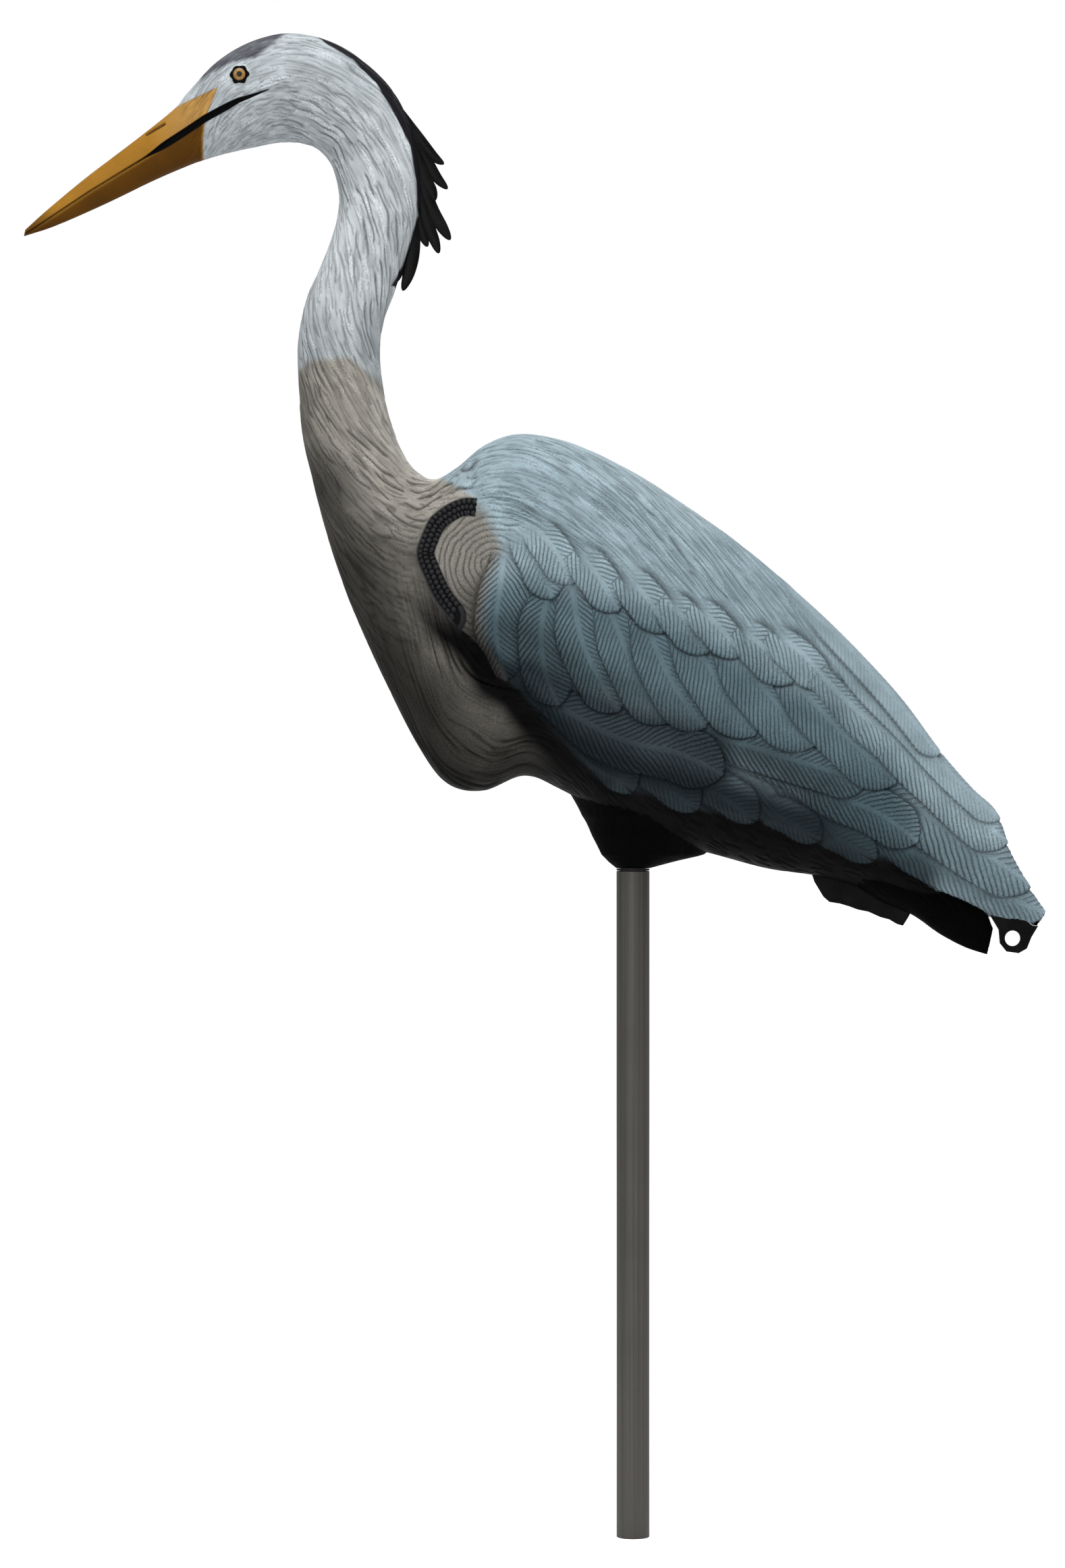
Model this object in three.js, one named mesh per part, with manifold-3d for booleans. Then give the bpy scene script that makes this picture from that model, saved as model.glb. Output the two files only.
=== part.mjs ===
// A heron decoy on a stake: two moulded half shells with folded wings, on a spigot that swivels in a pole.
// Millimetres, +Z up, the bill towards -X, the bird's left side towards -Y.
// The origin is the centre of the pole's lower end.
import * as THREE from "three";
import { mergeVertices } from "three/addons/utils/BufferGeometryUtils.js";
import Module from "manifold-3d";

// Pole
const POLE_LENGTH = 444;
const POLE_RADIUS = 11;
const POLE_WALL = 1.8;
const PLUG_LENGTH = 30;
const PLUG_BEVEL = 2;

// Swivel
const BUSH_WALL = 1.4;
const SPIGOT_WALL = 1.5;
const SPIGOT_BELOW = 110; // length inside the pole
const SPIGOT_ABOVE = 140; // length inside the bird
const BUSH_LENGTH = 30;
const BUSH_FLANGE = 1.2;
const LOWER_BUSH_LENGTH = 20;
const LOWER_BUSH_RISE = 8; // from the spigot's lower end to the lower bush

// Bird
const BIRD_LENGTH = 681; // bill tip to wing tip
const WALL = 2.2;
const WING_RISE = 5; // how far a wing's edge stands out from the body
const MOUTH_DEPTH = 8; // solid plastic around the spigot at the belly's lower end
const EYE_RADIUS = 4.4;
const EYE_DEPTH = 6;
const EYE_DOME = 1.6;
const PLATE = 3; // thickness of the crest and of the tail lug
const FIN_THICKNESS = 2.5;
const LUG_HOLE_RADIUS = 5.2;

// Leg socket
const SOCKET_WALL = 4;
const SOCKET_START = 12; // above the belly's mouth
const SOCKET_CAP = 5;
const FLANGE_THICKNESS = 4;
const FLANGE_REACH = 38;
const FLANGE_BOTTOM = 62;
const FLANGE_TOP = 138;
const SOCKET_SCREW_X = 28;
const SOCKET_SCREW_INSET = 13;
const PIN_RADIUS = 2.2;
const PIN_HEIGHT = 100;

// Screws
const SCREW_RADIUS = 1.5;
const SCREW_HEAD_RADIUS = 3.8;
const SCREW_HEAD_HEIGHT = 2.6;
const SCREW_CROWN = 0.6; // the head's flat top, as a share of its radius
const SCREW_SEAT = 10; // from the middle plane to the underside of a head
const SCREW_REACH = 12; // from the middle plane to a screw's point
const BOSS_WALL = 2.6;

const GAP = 0.3; // between pieces that touch
const RUNNING = 0.5; // radial, where the spigot turns
const ROUND = 24; // sides of a round piece
const SMALL_ROUND = 8; // sides of a screw, a pin or a post
const RING_SIDES = 10; // steps down one side of the bird
const STEPS = 2; // rings from one station to the next

// The bird's outline, as stations from the bill's tip to the wing's tip. Each has a point on the back line
// (x, z), the facing point on the front and belly line (x, z), the half width between them, how far the
// widest place is drawn up (over 1) or down (under 1), and the section's fullness (lower is squarer).
// The zero is on the pole's axis at the belly's mouth, and the lengths are a bird's OUTLINE_LENGTH long.
const OUTLINE_LENGTH = 681;
const STATIONS = [
  [-405, 426, -406, 421.5, 1.6, 1, 0.9],
  [-390, 439.5, -385, 428.5, 3.8, 1, 0.9],
  [-364, 461, -352, 443, 7, 1, 0.9],
  [-331, 486, -320, 458.5, 10.5, 1, 0.9],
  [-306, 506, -297, 468.5, 13.5, 1, 0.85],
  [-297, 517, -284, 473, 16.5, 1, 0.8],
  [-277, 538, -270, 477, 21.5, 1, 0.75],
  [-252, 552, -252, 481, 25, 1, 0.75],
  [-225, 556.8, -236, 484, 26.5, 1, 0.8],
  [-195, 548.5, -222, 483.5, 26, 1, 0.85],
  [-168, 528, -210, 479, 25.5, 1, 0.9],
  [-152, 505, -201, 468, 25, 1, 0.9],
  [-143.5, 476, -196.5, 450, 24.5, 1, 0.9],
  [-141.5, 448, -197.5, 434, 24, 1, 0.9],
  [-144, 427, -202, 418, 24, 1, 0.9],
  [-151, 407, -210, 398, 24.5, 1, 0.9],
  [-158.5, 385, -217, 383, 25, 1, 0.9],
  [-166, 364, -222, 363, 26, 1, 0.9],
  [-168.3, 345, -224, 343, 27, 1, 0.9],
  [-167, 326, -223, 320, 28.5, 1, 0.9],
  [-162, 301, -221, 290, 31, 1, 0.9],
  [-153, 277, -214, 259, 35, 1, 0.9],
  [-143, 264, -203, 218, 41, 1, 0.85],
  [-131.5, 259.5, -188, 175, 49, 1.05, 0.8],
  [-118, 266.5, -167, 128, 57, 1.1, 0.75],
  [-100, 281, -143, 81, 63, 1.15, 0.7],
  [-78, 289, -124, 56.5, 66, 1.15, 0.7],
  [-52, 286.5, -100, 51.5, 68, 1.1, 0.72],
  [-24, 276.5, -72, 61.5, 69.5, 1, 0.75],
  [6, 261, -46, 51, 70, 0.95, 0.78],
  [36, 241.5, -14, 33, 69, 0.9, 0.8],
  [66, 220.5, 22, 18, 66.5, 0.85, 0.82],
  [96, 196.5, 56, 8.5, 62, 0.8, 0.84],
  [126, 170, 90, -0.5, 56, 0.78, 0.86],
  [154, 142, 124, -5.5, 49, 0.75, 0.88],
  [180, 113, 156, -14, 41, 0.72, 0.9],
  [204, 80.5, 186, -22, 32, 0.7, 0.9],
  [226, 54.5, 210, -25, 23, 0.7, 0.9],
  [243, 37.5, 234, -33, 14, 0.8, 0.9],
  [253, 10, 250, -38, 8, 0.9, 0.9],
  [268, -17, 265, -40, 4, 1, 0.9],
  [274.5, -27, 273, -35, 1.6, 1, 0.9],
];
const HOLLOW_FROM = 5; // the first and last stations of the hollow: the bill and the wing tips are solid
const HOLLOW_TO = 37;

// The tail under the wing tips, as stations of the same kind.
const TAIL = [
  [138, 22, 134, 0, 22, 1, 0.8],
  [170, 6, 160, -19, 21, 1, 0.8],
  [197, -4, 186, -31, 17, 1, 0.8],
  [217, -12, 204, -43.5, 12, 1, 0.8],
  [233, -25, 221, -52.5, 7, 1, 0.8],
  [240, -40, 236, -57.5, 2, 1, 0.8],
];

// The thigh, as level rings: height over the mouth, centre x, half length along X, half width along Y.
const THIGH = [
  [4, 5, 21, 15],
  [9, 13, 34, 20],
  [21, 17, 44, 28],
  [35, 21, 55, 36],
  [60, 21, 69, 46],
];

// The wing's front and lower edge, from the top of the shoulder round to the wing's tip.
const WING_EDGE = [
  [-103, 243], [-122, 238], [-135, 227], [-140, 214], [-138, 198], [-132, 177], [-113, 152], [-96, 132],
  [-62, 90], [-38, 72], [-21, 58], [0, 51], [39, 38], [80, 32], [120, 20], [154, 8], [191, 2],
  [225, -14], [267, -35],
];
const WING_EDGE_SOFT = 10; // width of the edge's slope
const WING_FADE = 110; // the rise is gone this far above the edge

// Flat pieces in the middle plane, as outlines in X and Z.
const CREST = [
  [-180, 528], [-172, 533], [-160, 519], [-148, 503], [-137, 487], [-127, 471], [-125.5, 469.5],
  [-131.5, 468], [-130, 462], [-123.2, 452.5], [-133, 456], [-131, 444], [-125, 428], [-121, 419],
  [-128, 418], [-129.6, 408.6], [-137, 414], [-142, 402], [-152.5, 383.5], [-157, 386.5], [-163, 389],
  [-156, 410], [-150, 428], [-148, 449], [-150, 474], [-158, 500],
];
const FIN = [
  [118, 0], [129, -21.5], [144, -25.6], [165, -33], [180, -38.5], [186, -28], [182, -10], [150, 0],
];
const LUG_CENTRE = [253, -46.7];
const LUG = [
  [220, 14], [236, 14], [243, -8], [252, -26], [266, -38], [270, -38.5], [265.5, -46], [262.5, -53.5],
  [257, -56.6], [249, -55.5], [244.6, -50], [243.8, -41], [236, -28], [222, 2],
];
const LUG_SCREW = [228.5, 6];

// Where the shell's screws go, in X and Z.
const SHELL_SCREWS = {
  head: [-232, 515],
  nape: [-170, 480],
  upper_neck: [-183, 400],
  lower_neck: [-195, 330],
  throat: [-182, 250],
  breast: [-135, 112],
  hump: [-82, 255],
  back: [10, 225],
  rump: [105, 155],
  belly: [118, 34],
  tail: [196, 40],
  lug: LUG_SCREW,
};
const EYE = [-261, 526];

const wasm = await Module();
wasm.setup();

const scale = BIRD_LENGTH / OUTLINE_LENGTH;
const poleBore = POLE_RADIUS - POLE_WALL;
const bushRadius = poleBore - GAP;
const mouthZ = POLE_LENGTH + GAP + BUSH_FLANGE + GAP;
const spigotHole = bushRadius - BUSH_WALL;
const spigotRadius = spigotHole - RUNNING;
const socketRadius = spigotHole + SOCKET_WALL;
const halfGap = GAP / 2;
const FAR = 2 * BIRD_LENGTH; // past every face of the bird
const PAST = 1; // how far a cut runs past the face that it opens

const plastic = (color, roughness) => new THREE.MeshStandardMaterial({ color, roughness, metalness: 0 });
const metal = (color, roughness) => new THREE.MeshStandardMaterial({ color, roughness, metalness: 1 });
const paintedShell = plastic(0x7f97a3, 0.6);
const blackPlastic = plastic(0x17181a, 0.45);
const amber = plastic(0xd89a3a, 0.1);
const nylon = plastic(0xd8d6cc, 0.5);
const greyTube = metal(0x6b6862, 0.55);
const steel = metal(0x9a9b9c, 0.35);

// ---- solids ----

// A geometry as a manifold-3d solid.
function solid(geometry) {
  const bare = geometry.index ? geometry.toNonIndexed() : geometry.clone();
  bare.deleteAttribute("normal");
  bare.deleteAttribute("uv");
  const merged = mergeVertices(bare, 1e-4);
  const vertProperties = merged.attributes.position.array;
  const triVerts = new Uint32Array(merged.index.array);
  return new wasm.Manifold(new wasm.Mesh({ numProp: 3, vertProperties, triVerts }));
}

// A solid as a geometry.
function geometryOf(made) {
  const mesh = made.getMesh();
  const positions = new Float32Array(mesh.numVert * 3);
  for (let i = 0; i < mesh.numVert; i++) {
    positions.set(mesh.vertProperties.subarray(i * mesh.numProp, i * mesh.numProp + 3), i * 3);
  }
  const geometry = new THREE.BufferGeometry();
  geometry.setAttribute("position", new THREE.BufferAttribute(positions, 3));
  geometry.setIndex(new THREE.BufferAttribute(mesh.triVerts, 1));
  geometry.computeVertexNormals();
  return geometry;
}

// A surface through rings of equally many points, closed at both ends.
function loft(rings) {
  const count = rings[0].length;
  const points = rings.flat();
  const index = [];
  for (let i = 0; i + 1 < rings.length; i++) {
    for (let j = 0; j < count; j++) {
      const a = i * count + j;
      const b = i * count + ((j + 1) % count);
      index.push(a, b, b + count, a, b + count, a + count);
    }
  }
  for (const [ring, outward] of [[0, false], [rings.length - 1, true]]) {
    const middle = rings[ring].reduce((sum, p) => sum.add(p), new THREE.Vector3()).divideScalar(count);
    points.push(middle);
    for (let j = 0; j < count; j++) {
      const a = ring * count + j;
      const b = ring * count + ((j + 1) % count);
      index.push(...(outward ? [a, b, points.length - 1] : [b, a, points.length - 1]));
    }
  }
  const geometry = new THREE.BufferGeometry().setFromPoints(points);
  geometry.setIndex(index);
  return solid(geometry);
}

// A turned solid about Z from a profile of [radius, z] pairs.
function turned(profile, sides = ROUND) {
  const points = profile.map(([r, z]) => new THREE.Vector2(r, z));
  return new THREE.LatheGeometry(points, sides).rotateX(Math.PI / 2);
}

// A turned solid about an axis along Y through x, z. The profile's second value is y.
function turnedAcross(profile, [x, z], sides = ROUND) {
  const points = profile.map(([r, y]) => new THREE.Vector2(r, y));
  return new THREE.LatheGeometry(points, sides).translate(x, 0, z);
}

const rod = (r, from, to) => [[0, from], [r, from], [r, to], [0, to]];
const tube = (inner, outer, from, to) => {
  return [[inner, from], [outer, from], [outer, to], [inner, to], [inner, from]];
};

// A plate in the middle plane with an outline in X and Z, from one y to another.
function plate(outline, fromY, toY) {
  const shape = new THREE.Shape(outline.map(([x, z]) => new THREE.Vector2(x, z)));
  const geometry = new THREE.ExtrudeGeometry(shape, { depth: toY - fromY, bevelEnabled: false });
  return solid(geometry.rotateX(Math.PI / 2).translate(0, toY, 0));
}

const SHARPEST = 0.4; // keeps a sharp corner of a grown outline from running far out

// An outline with every edge moved out by a distance.
function grown(outline, distance) {
  const points = outline.map(([x, z]) => new THREE.Vector2(x, z));
  const turn = Math.sign(THREE.ShapeUtils.area(points));
  return points.map((p, i) => {
    const before = p.clone().sub(points.at(i - 1)).normalize();
    const after = points[(i + 1) % points.length].clone().sub(p).normalize();
    const along = before.clone().add(after).normalize();
    const spread = Math.max(SHARPEST, along.dot(before));
    return [p.x + (along.y * turn * distance) / spread, p.y - (along.x * turn * distance) / spread];
  });
}

// ---- the bird's form ----

const scaled = (pairs) => pairs.map(([x, z]) => [x * scale, z * scale]);
const wingEdge = scaled(WING_EDGE);

// How far a point of the side view lies inside the wing's edge: negative below and in front of it.
function insideWing(x, z) {
  let nearest = Infinity;
  let inside = 1;
  for (let i = 0; i + 1 < wingEdge.length; i++) {
    const [ax, az] = wingEdge[i];
    const [bx, bz] = wingEdge[i + 1];
    const [dx, dz] = [bx - ax, bz - az];
    const along = THREE.MathUtils.clamp(((x - ax) * dx + (z - az) * dz) / (dx * dx + dz * dz), 0, 1);
    const distance = Math.hypot(x - ax - along * dx, z - az - along * dz);
    if (distance < nearest) {
      nearest = distance;
      inside = dx * (z - az) - dz * (x - ax) > 0 ? 1 : -1;
    }
  }
  return nearest * inside;
}

// How far the wing stands out at a point of the side view.
function wingRise(x, z) {
  const depth = insideWing(x, z) / scale;
  const edge = THREE.MathUtils.smoothstep(depth, 0, WING_EDGE_SOFT);
  return WING_RISE * edge * (1 - THREE.MathUtils.smoothstep(depth, WING_EDGE_SOFT, WING_FADE));
}

// Curves through stations: the back line with the half width, and the belly line with the section's shape.
function formOf(stations) {
  const curve = (pick) => new THREE.CatmullRomCurve3(stations.map(pick));
  const back = curve(([x, z, , , w]) => new THREE.Vector3(x, w, z).multiplyScalar(scale));
  const belly = curve(([, , x, z]) => new THREE.Vector3(x, 0, z).multiplyScalar(scale));
  const section = curve(([, , , , , draw, full]) => new THREE.Vector3(draw, full, 0));
  return { back, belly, section };
}

// The ring of a form at a share of its length, taken in by a wall, down the left side and up the right.
function ringAt(form, share, inset, wing) {
  const back = form.back.getPoint(share);
  const belly = form.belly.getPoint(share);
  const { x: draw, y: full } = form.section.getPoint(share);
  const width = back.y - inset;
  back.y = 0;
  const chord = belly.clone().sub(back);
  const shorter = (chord.length() - 2 * inset) / chord.length();
  back.addScaledVector(chord, (1 - shorter) / 2);
  chord.multiplyScalar(shorter);
  const side = [];
  for (let j = 0; j <= RING_SIDES; j++) {
    const angle = (Math.PI * j) / RING_SIDES;
    const point = back.clone().addScaledVector(chord, ((1 - Math.cos(angle)) / 2) ** draw);
    const bulge = Math.max(0, Math.sin(angle)) ** full;
    point.y = -width * bulge - (wing ? wingRise(point.x, point.z) * Math.min(1, 2 * bulge) : 0);
    if (j === 0 || j === RING_SIDES) point.y = 0;
    side.push(point);
  }
  const mirrored = side.slice(1, -1).reverse().map((p) => new THREE.Vector3(p.x, -p.y, p.z));
  return [...side, ...mirrored];
}

// A form as a solid between two of its stations.
function formSolid(stations, { from = 0, to = stations.length - 1, inset = 0, steps = STEPS, wing = false }) {
  const form = formOf(stations);
  const rings = [];
  for (let i = from * steps; i <= to * steps; i++) {
    rings.push(ringAt(form, i / steps / (stations.length - 1), inset, wing));
  }
  return loft(rings);
}

// The thigh as a solid that narrows to the pole's own radius at the belly's mouth.
function thighSolid(inset, start) {
  const mouth = [start, 0, POLE_RADIUS, POLE_RADIUS];
  const rings = [mouth, ...THIGH.map((ring) => ring.map((value) => value * scale))];
  return loft(
    rings.map(([z, centre, halfLength, halfWidth]) =>
      Array.from({ length: ROUND }, (_, i) => {
        const angle = (2 * Math.PI * i) / ROUND;
        const x = centre + (halfLength - inset) * Math.cos(angle);
        return new THREE.Vector3(x, (halfWidth - inset) * Math.sin(angle), z);
      }),
    ),
  );
}

const outside = formSolid(STATIONS, { wing: true }).add(thighSolid(0, 0)).add(formSolid(TAIL, {}));
const hollow = formSolid(STATIONS, { from: HOLLOW_FROM, to: HOLLOW_TO, inset: WALL, steps: 1 }).add(
  thighSolid(WALL, MOUTH_DEPTH),
);

// The half width of the bird's outside at a point of the side view.
function halfWidthAt([x, z]) {
  const needle = turnedAcross(rod(GAP, 0, FAR), [x, z], SMALL_ROUND);
  return outside.intersect(solid(needle)).boundingBox().max[1];
}

// ---- screws ----

const flangeFace = FLANGE_THICKNESS / 2 + GAP;
const plateFace = PLATE / 2 + GAP;
const screws = Object.entries(SHELL_SCREWS).map(([name, [x, z]]) => {
  const face = name === "lug" ? plateFace : halfGap;
  return { name: `screw_${name}`, at: [x * scale, z * scale], face };
});
const socketHeights = { lower: FLANGE_BOTTOM + SOCKET_SCREW_INSET, upper: FLANGE_TOP - SOCKET_SCREW_INSET };
for (const [height, z] of Object.entries(socketHeights)) {
  for (const [end, x] of [["front", -SOCKET_SCREW_X], ["rear", SOCKET_SCREW_X]]) {
    screws.push({ name: `socket_screw_${height}_${end}`, at: [x, z], face: flangeFace });
  }
}

const wellRadius = SCREW_HEAD_RADIUS + GAP;
const shaftRadius = SCREW_RADIUS + GAP;

// The left half's posts with their pilot holes, and the right half's posts with a clear hole and a well.
function withPosts(shell, side) {
  const left = side < 0;
  const posts = screws.map(({ at, face }) => {
    const profile = left ? rod(shaftRadius + BOSS_WALL, -FAR, -face) : rod(wellRadius + BOSS_WALL, face, FAR);
    return solid(turnedAcross(profile, at, SMALL_ROUND));
  });
  const seat = SCREW_SEAT - GAP;
  const holes = screws.map(({ at, face }) => {
    const pilot = rod(shaftRadius, -SCREW_REACH - GAP, face);
    const head = [[shaftRadius, seat], [wellRadius, seat], [wellRadius, FAR]];
    const well = [[0, -face], [shaftRadius, -face], ...head, [0, FAR]];
    return solid(turnedAcross(left ? pilot : well, at, SMALL_ROUND));
  });
  const inside = posts.reduce((all, post) => all.add(post.intersect(outside)), shell);
  return holes.reduce((all, hole) => all.subtract(hole), inside);
}

function screw(at) {
  const profile = [
    [0, -SCREW_REACH],
    [SCREW_RADIUS, -SCREW_REACH + 2 * SCREW_RADIUS],
    [SCREW_RADIUS, SCREW_SEAT],
    [SCREW_HEAD_RADIUS, SCREW_SEAT],
    [SCREW_HEAD_RADIUS, SCREW_SEAT + SCREW_HEAD_HEIGHT / 2],
    [SCREW_CROWN * SCREW_HEAD_RADIUS, SCREW_SEAT + SCREW_HEAD_HEIGHT],
    [0, SCREW_SEAT + SCREW_HEAD_HEIGHT],
  ];
  return turnedAcross(profile, at, SMALL_ROUND);
}

// ---- pieces in the middle plane ----

const crestOutline = scaled(CREST);
const lugOutline = scaled(LUG);
const lugCentre = LUG_CENTRE.map((value) => value * scale);
const lugScrewAt = LUG_SCREW.map((value) => value * scale);

const crest = plate(crestOutline, -PLATE / 2, PLATE / 2);
const lug = plate(lugOutline, -PLATE / 2, PLATE / 2)
  .subtract(solid(turnedAcross(rod(LUG_HOLE_RADIUS, -PLATE, PLATE), lugCentre)))
  .subtract(solid(turnedAcross(rod(shaftRadius, -PLATE, PLATE), lugScrewAt, SMALL_ROUND)));
const fin = plate(scaled(FIN), halfGap, FIN_THICKNESS);

// ---- the shells ----

// What both shells leave room for: the plates that they hold, the spigot's hole and the eyes.
const eyeAt = EYE.map((value) => value * scale);
const eyeFace = halfWidthAt(eyeAt);
const eyeHole = solid(turnedAcross(rod(EYE_RADIUS + GAP, -FAR, FAR), eyeAt));
const plateSlots = [crestOutline, lugOutline].map((outline) => {
  return plate(grown(outline, GAP), -plateFace, plateFace);
});
const throughHole = solid(turned(rod(spigotHole, -MOUTH_DEPTH, MOUTH_DEPTH + WALL + PAST)));

function shell(side) {
  const keep = new THREE.BoxGeometry(2 * FAR, FAR, 2 * FAR).translate(0, side * (FAR / 2 + halfGap), 0);
  const walls = outside.subtract(hollow).intersect(solid(keep));
  const half = side > 0 ? walls.add(fin.subtract(hollow)) : walls;
  const fitted = withPosts(half, side).subtract(eyeHole).subtract(throughHole);
  return plateSlots.reduce((all, slot) => all.subtract(slot), fitted);
}

function eye(side) {
  const back = eyeFace - EYE_DEPTH;
  const bend = [0.75 * EYE_RADIUS, eyeFace + 0.6 * EYE_DOME];
  const profile = [[0, back], [EYE_RADIUS, back], [EYE_RADIUS, eyeFace], bend, [0, eyeFace + EYE_DOME]];
  const geometry = turnedAcross(profile, [0, 0]);
  return (side > 0 ? geometry : geometry.rotateX(Math.PI)).translate(eyeAt[0], 0, eyeAt[1]);
}

// ---- the leg socket, the spigot and its pin ----

const pinAt = [0, PIN_HEIGHT];
const pinReach = socketRadius + PAST;
const pinHole = solid(turnedAcross(rod(PIN_RADIUS + GAP, -pinReach, pinReach), pinAt, SMALL_ROUND));

function legSocket() {
  const top = SPIGOT_ABOVE + GAP + SOCKET_CAP;
  const outline = [
    [-FLANGE_REACH, FLANGE_BOTTOM], [FLANGE_REACH, FLANGE_BOTTOM],
    [FLANGE_REACH, FLANGE_TOP], [-FLANGE_REACH, FLANGE_TOP],
  ];
  const body = solid(turned(rod(socketRadius, SOCKET_START, top)));
  const bore = solid(turned(rod(spigotRadius + GAP, SOCKET_START - PAST, SPIGOT_ABOVE + GAP)));
  const flange = plate(outline, -FLANGE_THICKNESS / 2, FLANGE_THICKNESS / 2);
  const hole = rod(shaftRadius, -FLANGE_THICKNESS, FLANGE_THICKNESS);
  const holes = screws
    .filter(({ name }) => name.startsWith("socket"))
    .map(({ at }) => solid(turnedAcross(hole, at, SMALL_ROUND)));
  return holes.reduce((all, hole) => all.subtract(hole), body.add(flange).subtract(bore)).subtract(pinHole);
}

const spigot = solid(
  turned(tube(spigotRadius - SPIGOT_WALL, spigotRadius, -SPIGOT_BELOW, SPIGOT_ABOVE)),
).subtract(pinHole);

// ---- the pole and its bushes ----

const swivelBush = turned([
  [spigotHole, -BUSH_LENGTH],
  [bushRadius, -BUSH_LENGTH],
  [bushRadius, 0],
  [POLE_RADIUS, 0],
  [POLE_RADIUS, BUSH_FLANGE],
  [spigotHole, BUSH_FLANGE],
  [spigotHole, -BUSH_LENGTH],
]);
const lowerBushStart = mouthZ - SPIGOT_BELOW + LOWER_BUSH_RISE;
const footPlug = turned([
  [0, 0],
  [bushRadius, 0],
  [bushRadius, PLUG_LENGTH - PLUG_BEVEL],
  [bushRadius - PLUG_BEVEL, PLUG_LENGTH],
  [0, PLUG_LENGTH],
]);

// ---- the assembly ----

function node(name, shape, material, z = 0) {
  const mesh = new THREE.Mesh(shape.isBufferGeometry ? shape : geometryOf(shape), material);
  mesh.name = name;
  mesh.position.z = z;
  return mesh;
}

const pole = new THREE.Group();
pole.add(
  node("pole_tube", turned(tube(poleBore, POLE_RADIUS, 0, POLE_LENGTH)), greyTube),
  node("foot_plug", footPlug, blackPlastic),
  node("lower_bush", turned(tube(spigotHole, bushRadius, 0, LOWER_BUSH_LENGTH)), nylon, lowerBushStart),
  node("swivel_bush", swivelBush, nylon, POLE_LENGTH + GAP),
);

const bird = new THREE.Group();
bird.position.z = mouthZ;
bird.add(
  node("left_shell", shell(-1), paintedShell),
  node("right_shell", shell(1), paintedShell),
  node("crest_plumes", crest, blackPlastic),
  node("tail_lug", lug, blackPlastic),
  node("left_eye", eye(-1), amber),
  node("right_eye", eye(1), amber),
  node("leg_socket", legSocket(), blackPlastic),
  node("spigot", spigot, steel),
  node("spigot_pin", turnedAcross(rod(PIN_RADIUS, -socketRadius, socketRadius), pinAt, SMALL_ROUND), steel),
  ...screws.map(({ name, at }) => node(name, screw(at), steel)),
);

const decoy = new THREE.Group();
decoy.add(pole, bird);

export default decoy;
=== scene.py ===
"""A standing heron decoy: two moulded plastic halves with folded wings, on a spigot that turns in a pole.

The bird's own frame has its zero on the pole's axis at the belly's lower end, the bill towards -X, the left
side towards -Y and +Z up. Sizes are in millimetres where nothing else is said, and every mesh is brought to
metres when it is made.
"""

import logging
import math
from dataclasses import dataclass, field
from enum import Enum

import bmesh
import bpy
import numpy as np
from mathutils import Matrix, Vector
from mathutils.kdtree import KDTree


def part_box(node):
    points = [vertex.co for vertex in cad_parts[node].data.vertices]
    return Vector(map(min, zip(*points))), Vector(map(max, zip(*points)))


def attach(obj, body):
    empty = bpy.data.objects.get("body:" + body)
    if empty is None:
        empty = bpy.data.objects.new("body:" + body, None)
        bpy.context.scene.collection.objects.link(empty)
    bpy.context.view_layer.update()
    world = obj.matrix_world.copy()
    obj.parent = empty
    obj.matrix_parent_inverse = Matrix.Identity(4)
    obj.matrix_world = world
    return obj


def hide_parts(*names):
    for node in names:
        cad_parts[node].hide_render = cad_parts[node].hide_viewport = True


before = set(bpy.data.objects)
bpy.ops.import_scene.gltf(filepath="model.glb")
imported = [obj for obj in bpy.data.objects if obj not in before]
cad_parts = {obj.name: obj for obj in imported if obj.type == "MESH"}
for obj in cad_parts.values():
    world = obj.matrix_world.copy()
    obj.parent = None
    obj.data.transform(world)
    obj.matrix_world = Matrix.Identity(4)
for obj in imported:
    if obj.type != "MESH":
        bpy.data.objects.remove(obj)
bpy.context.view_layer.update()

LOG = logging.getLogger("heron_decoy")
MM = 0.001
SEED = 4
# What a lattice corner's numbers and the seed are multiplied by, so that neighbours get unlike directions.
SCATTER_X, SCATTER_Y, SCATTER_SEED, SCATTER_LAST = 374761393, 668265263, 362437, 1274126177
LOW_32_BITS, LOW_16_BITS = 0xFFFFFFFF, 0xFFFF
# Vertices nearer to each other than this, in metres, are one.
WELD = 1e-7
# A vertex that no cut made carries a whole 1 in its "known" layer.
UNCUT = 0.999
Array = np.ndarray
Point = tuple[float, float]


class Side(Enum):
    """A half of the bird, with the sign of its Y."""

    LEFT = -1
    RIGHT = 1

    @property
    def word(self) -> str:
        """The side's name in lower case."""
        return self.name.lower()


class Body(Enum):
    """The rigid bodies that pieces ride on."""

    POLE = "pole"
    SWIVEL = "swivel"
    BIRD = "bird"


# ---- numbers over arrays ----


def smooth(value: Array, low: float, high: float) -> Array:
    """Eases from 0 to 1 between two values.

    Args:
        value: The values to ease.
        low: Where the result leaves 0.
        high: Where the result reaches 1.

    Returns:
        An array of shares from 0 to 1.
    """
    share = np.clip((value - low) / (high - low), 0, 1)
    return share * share * (3 - 2 * share)


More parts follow.
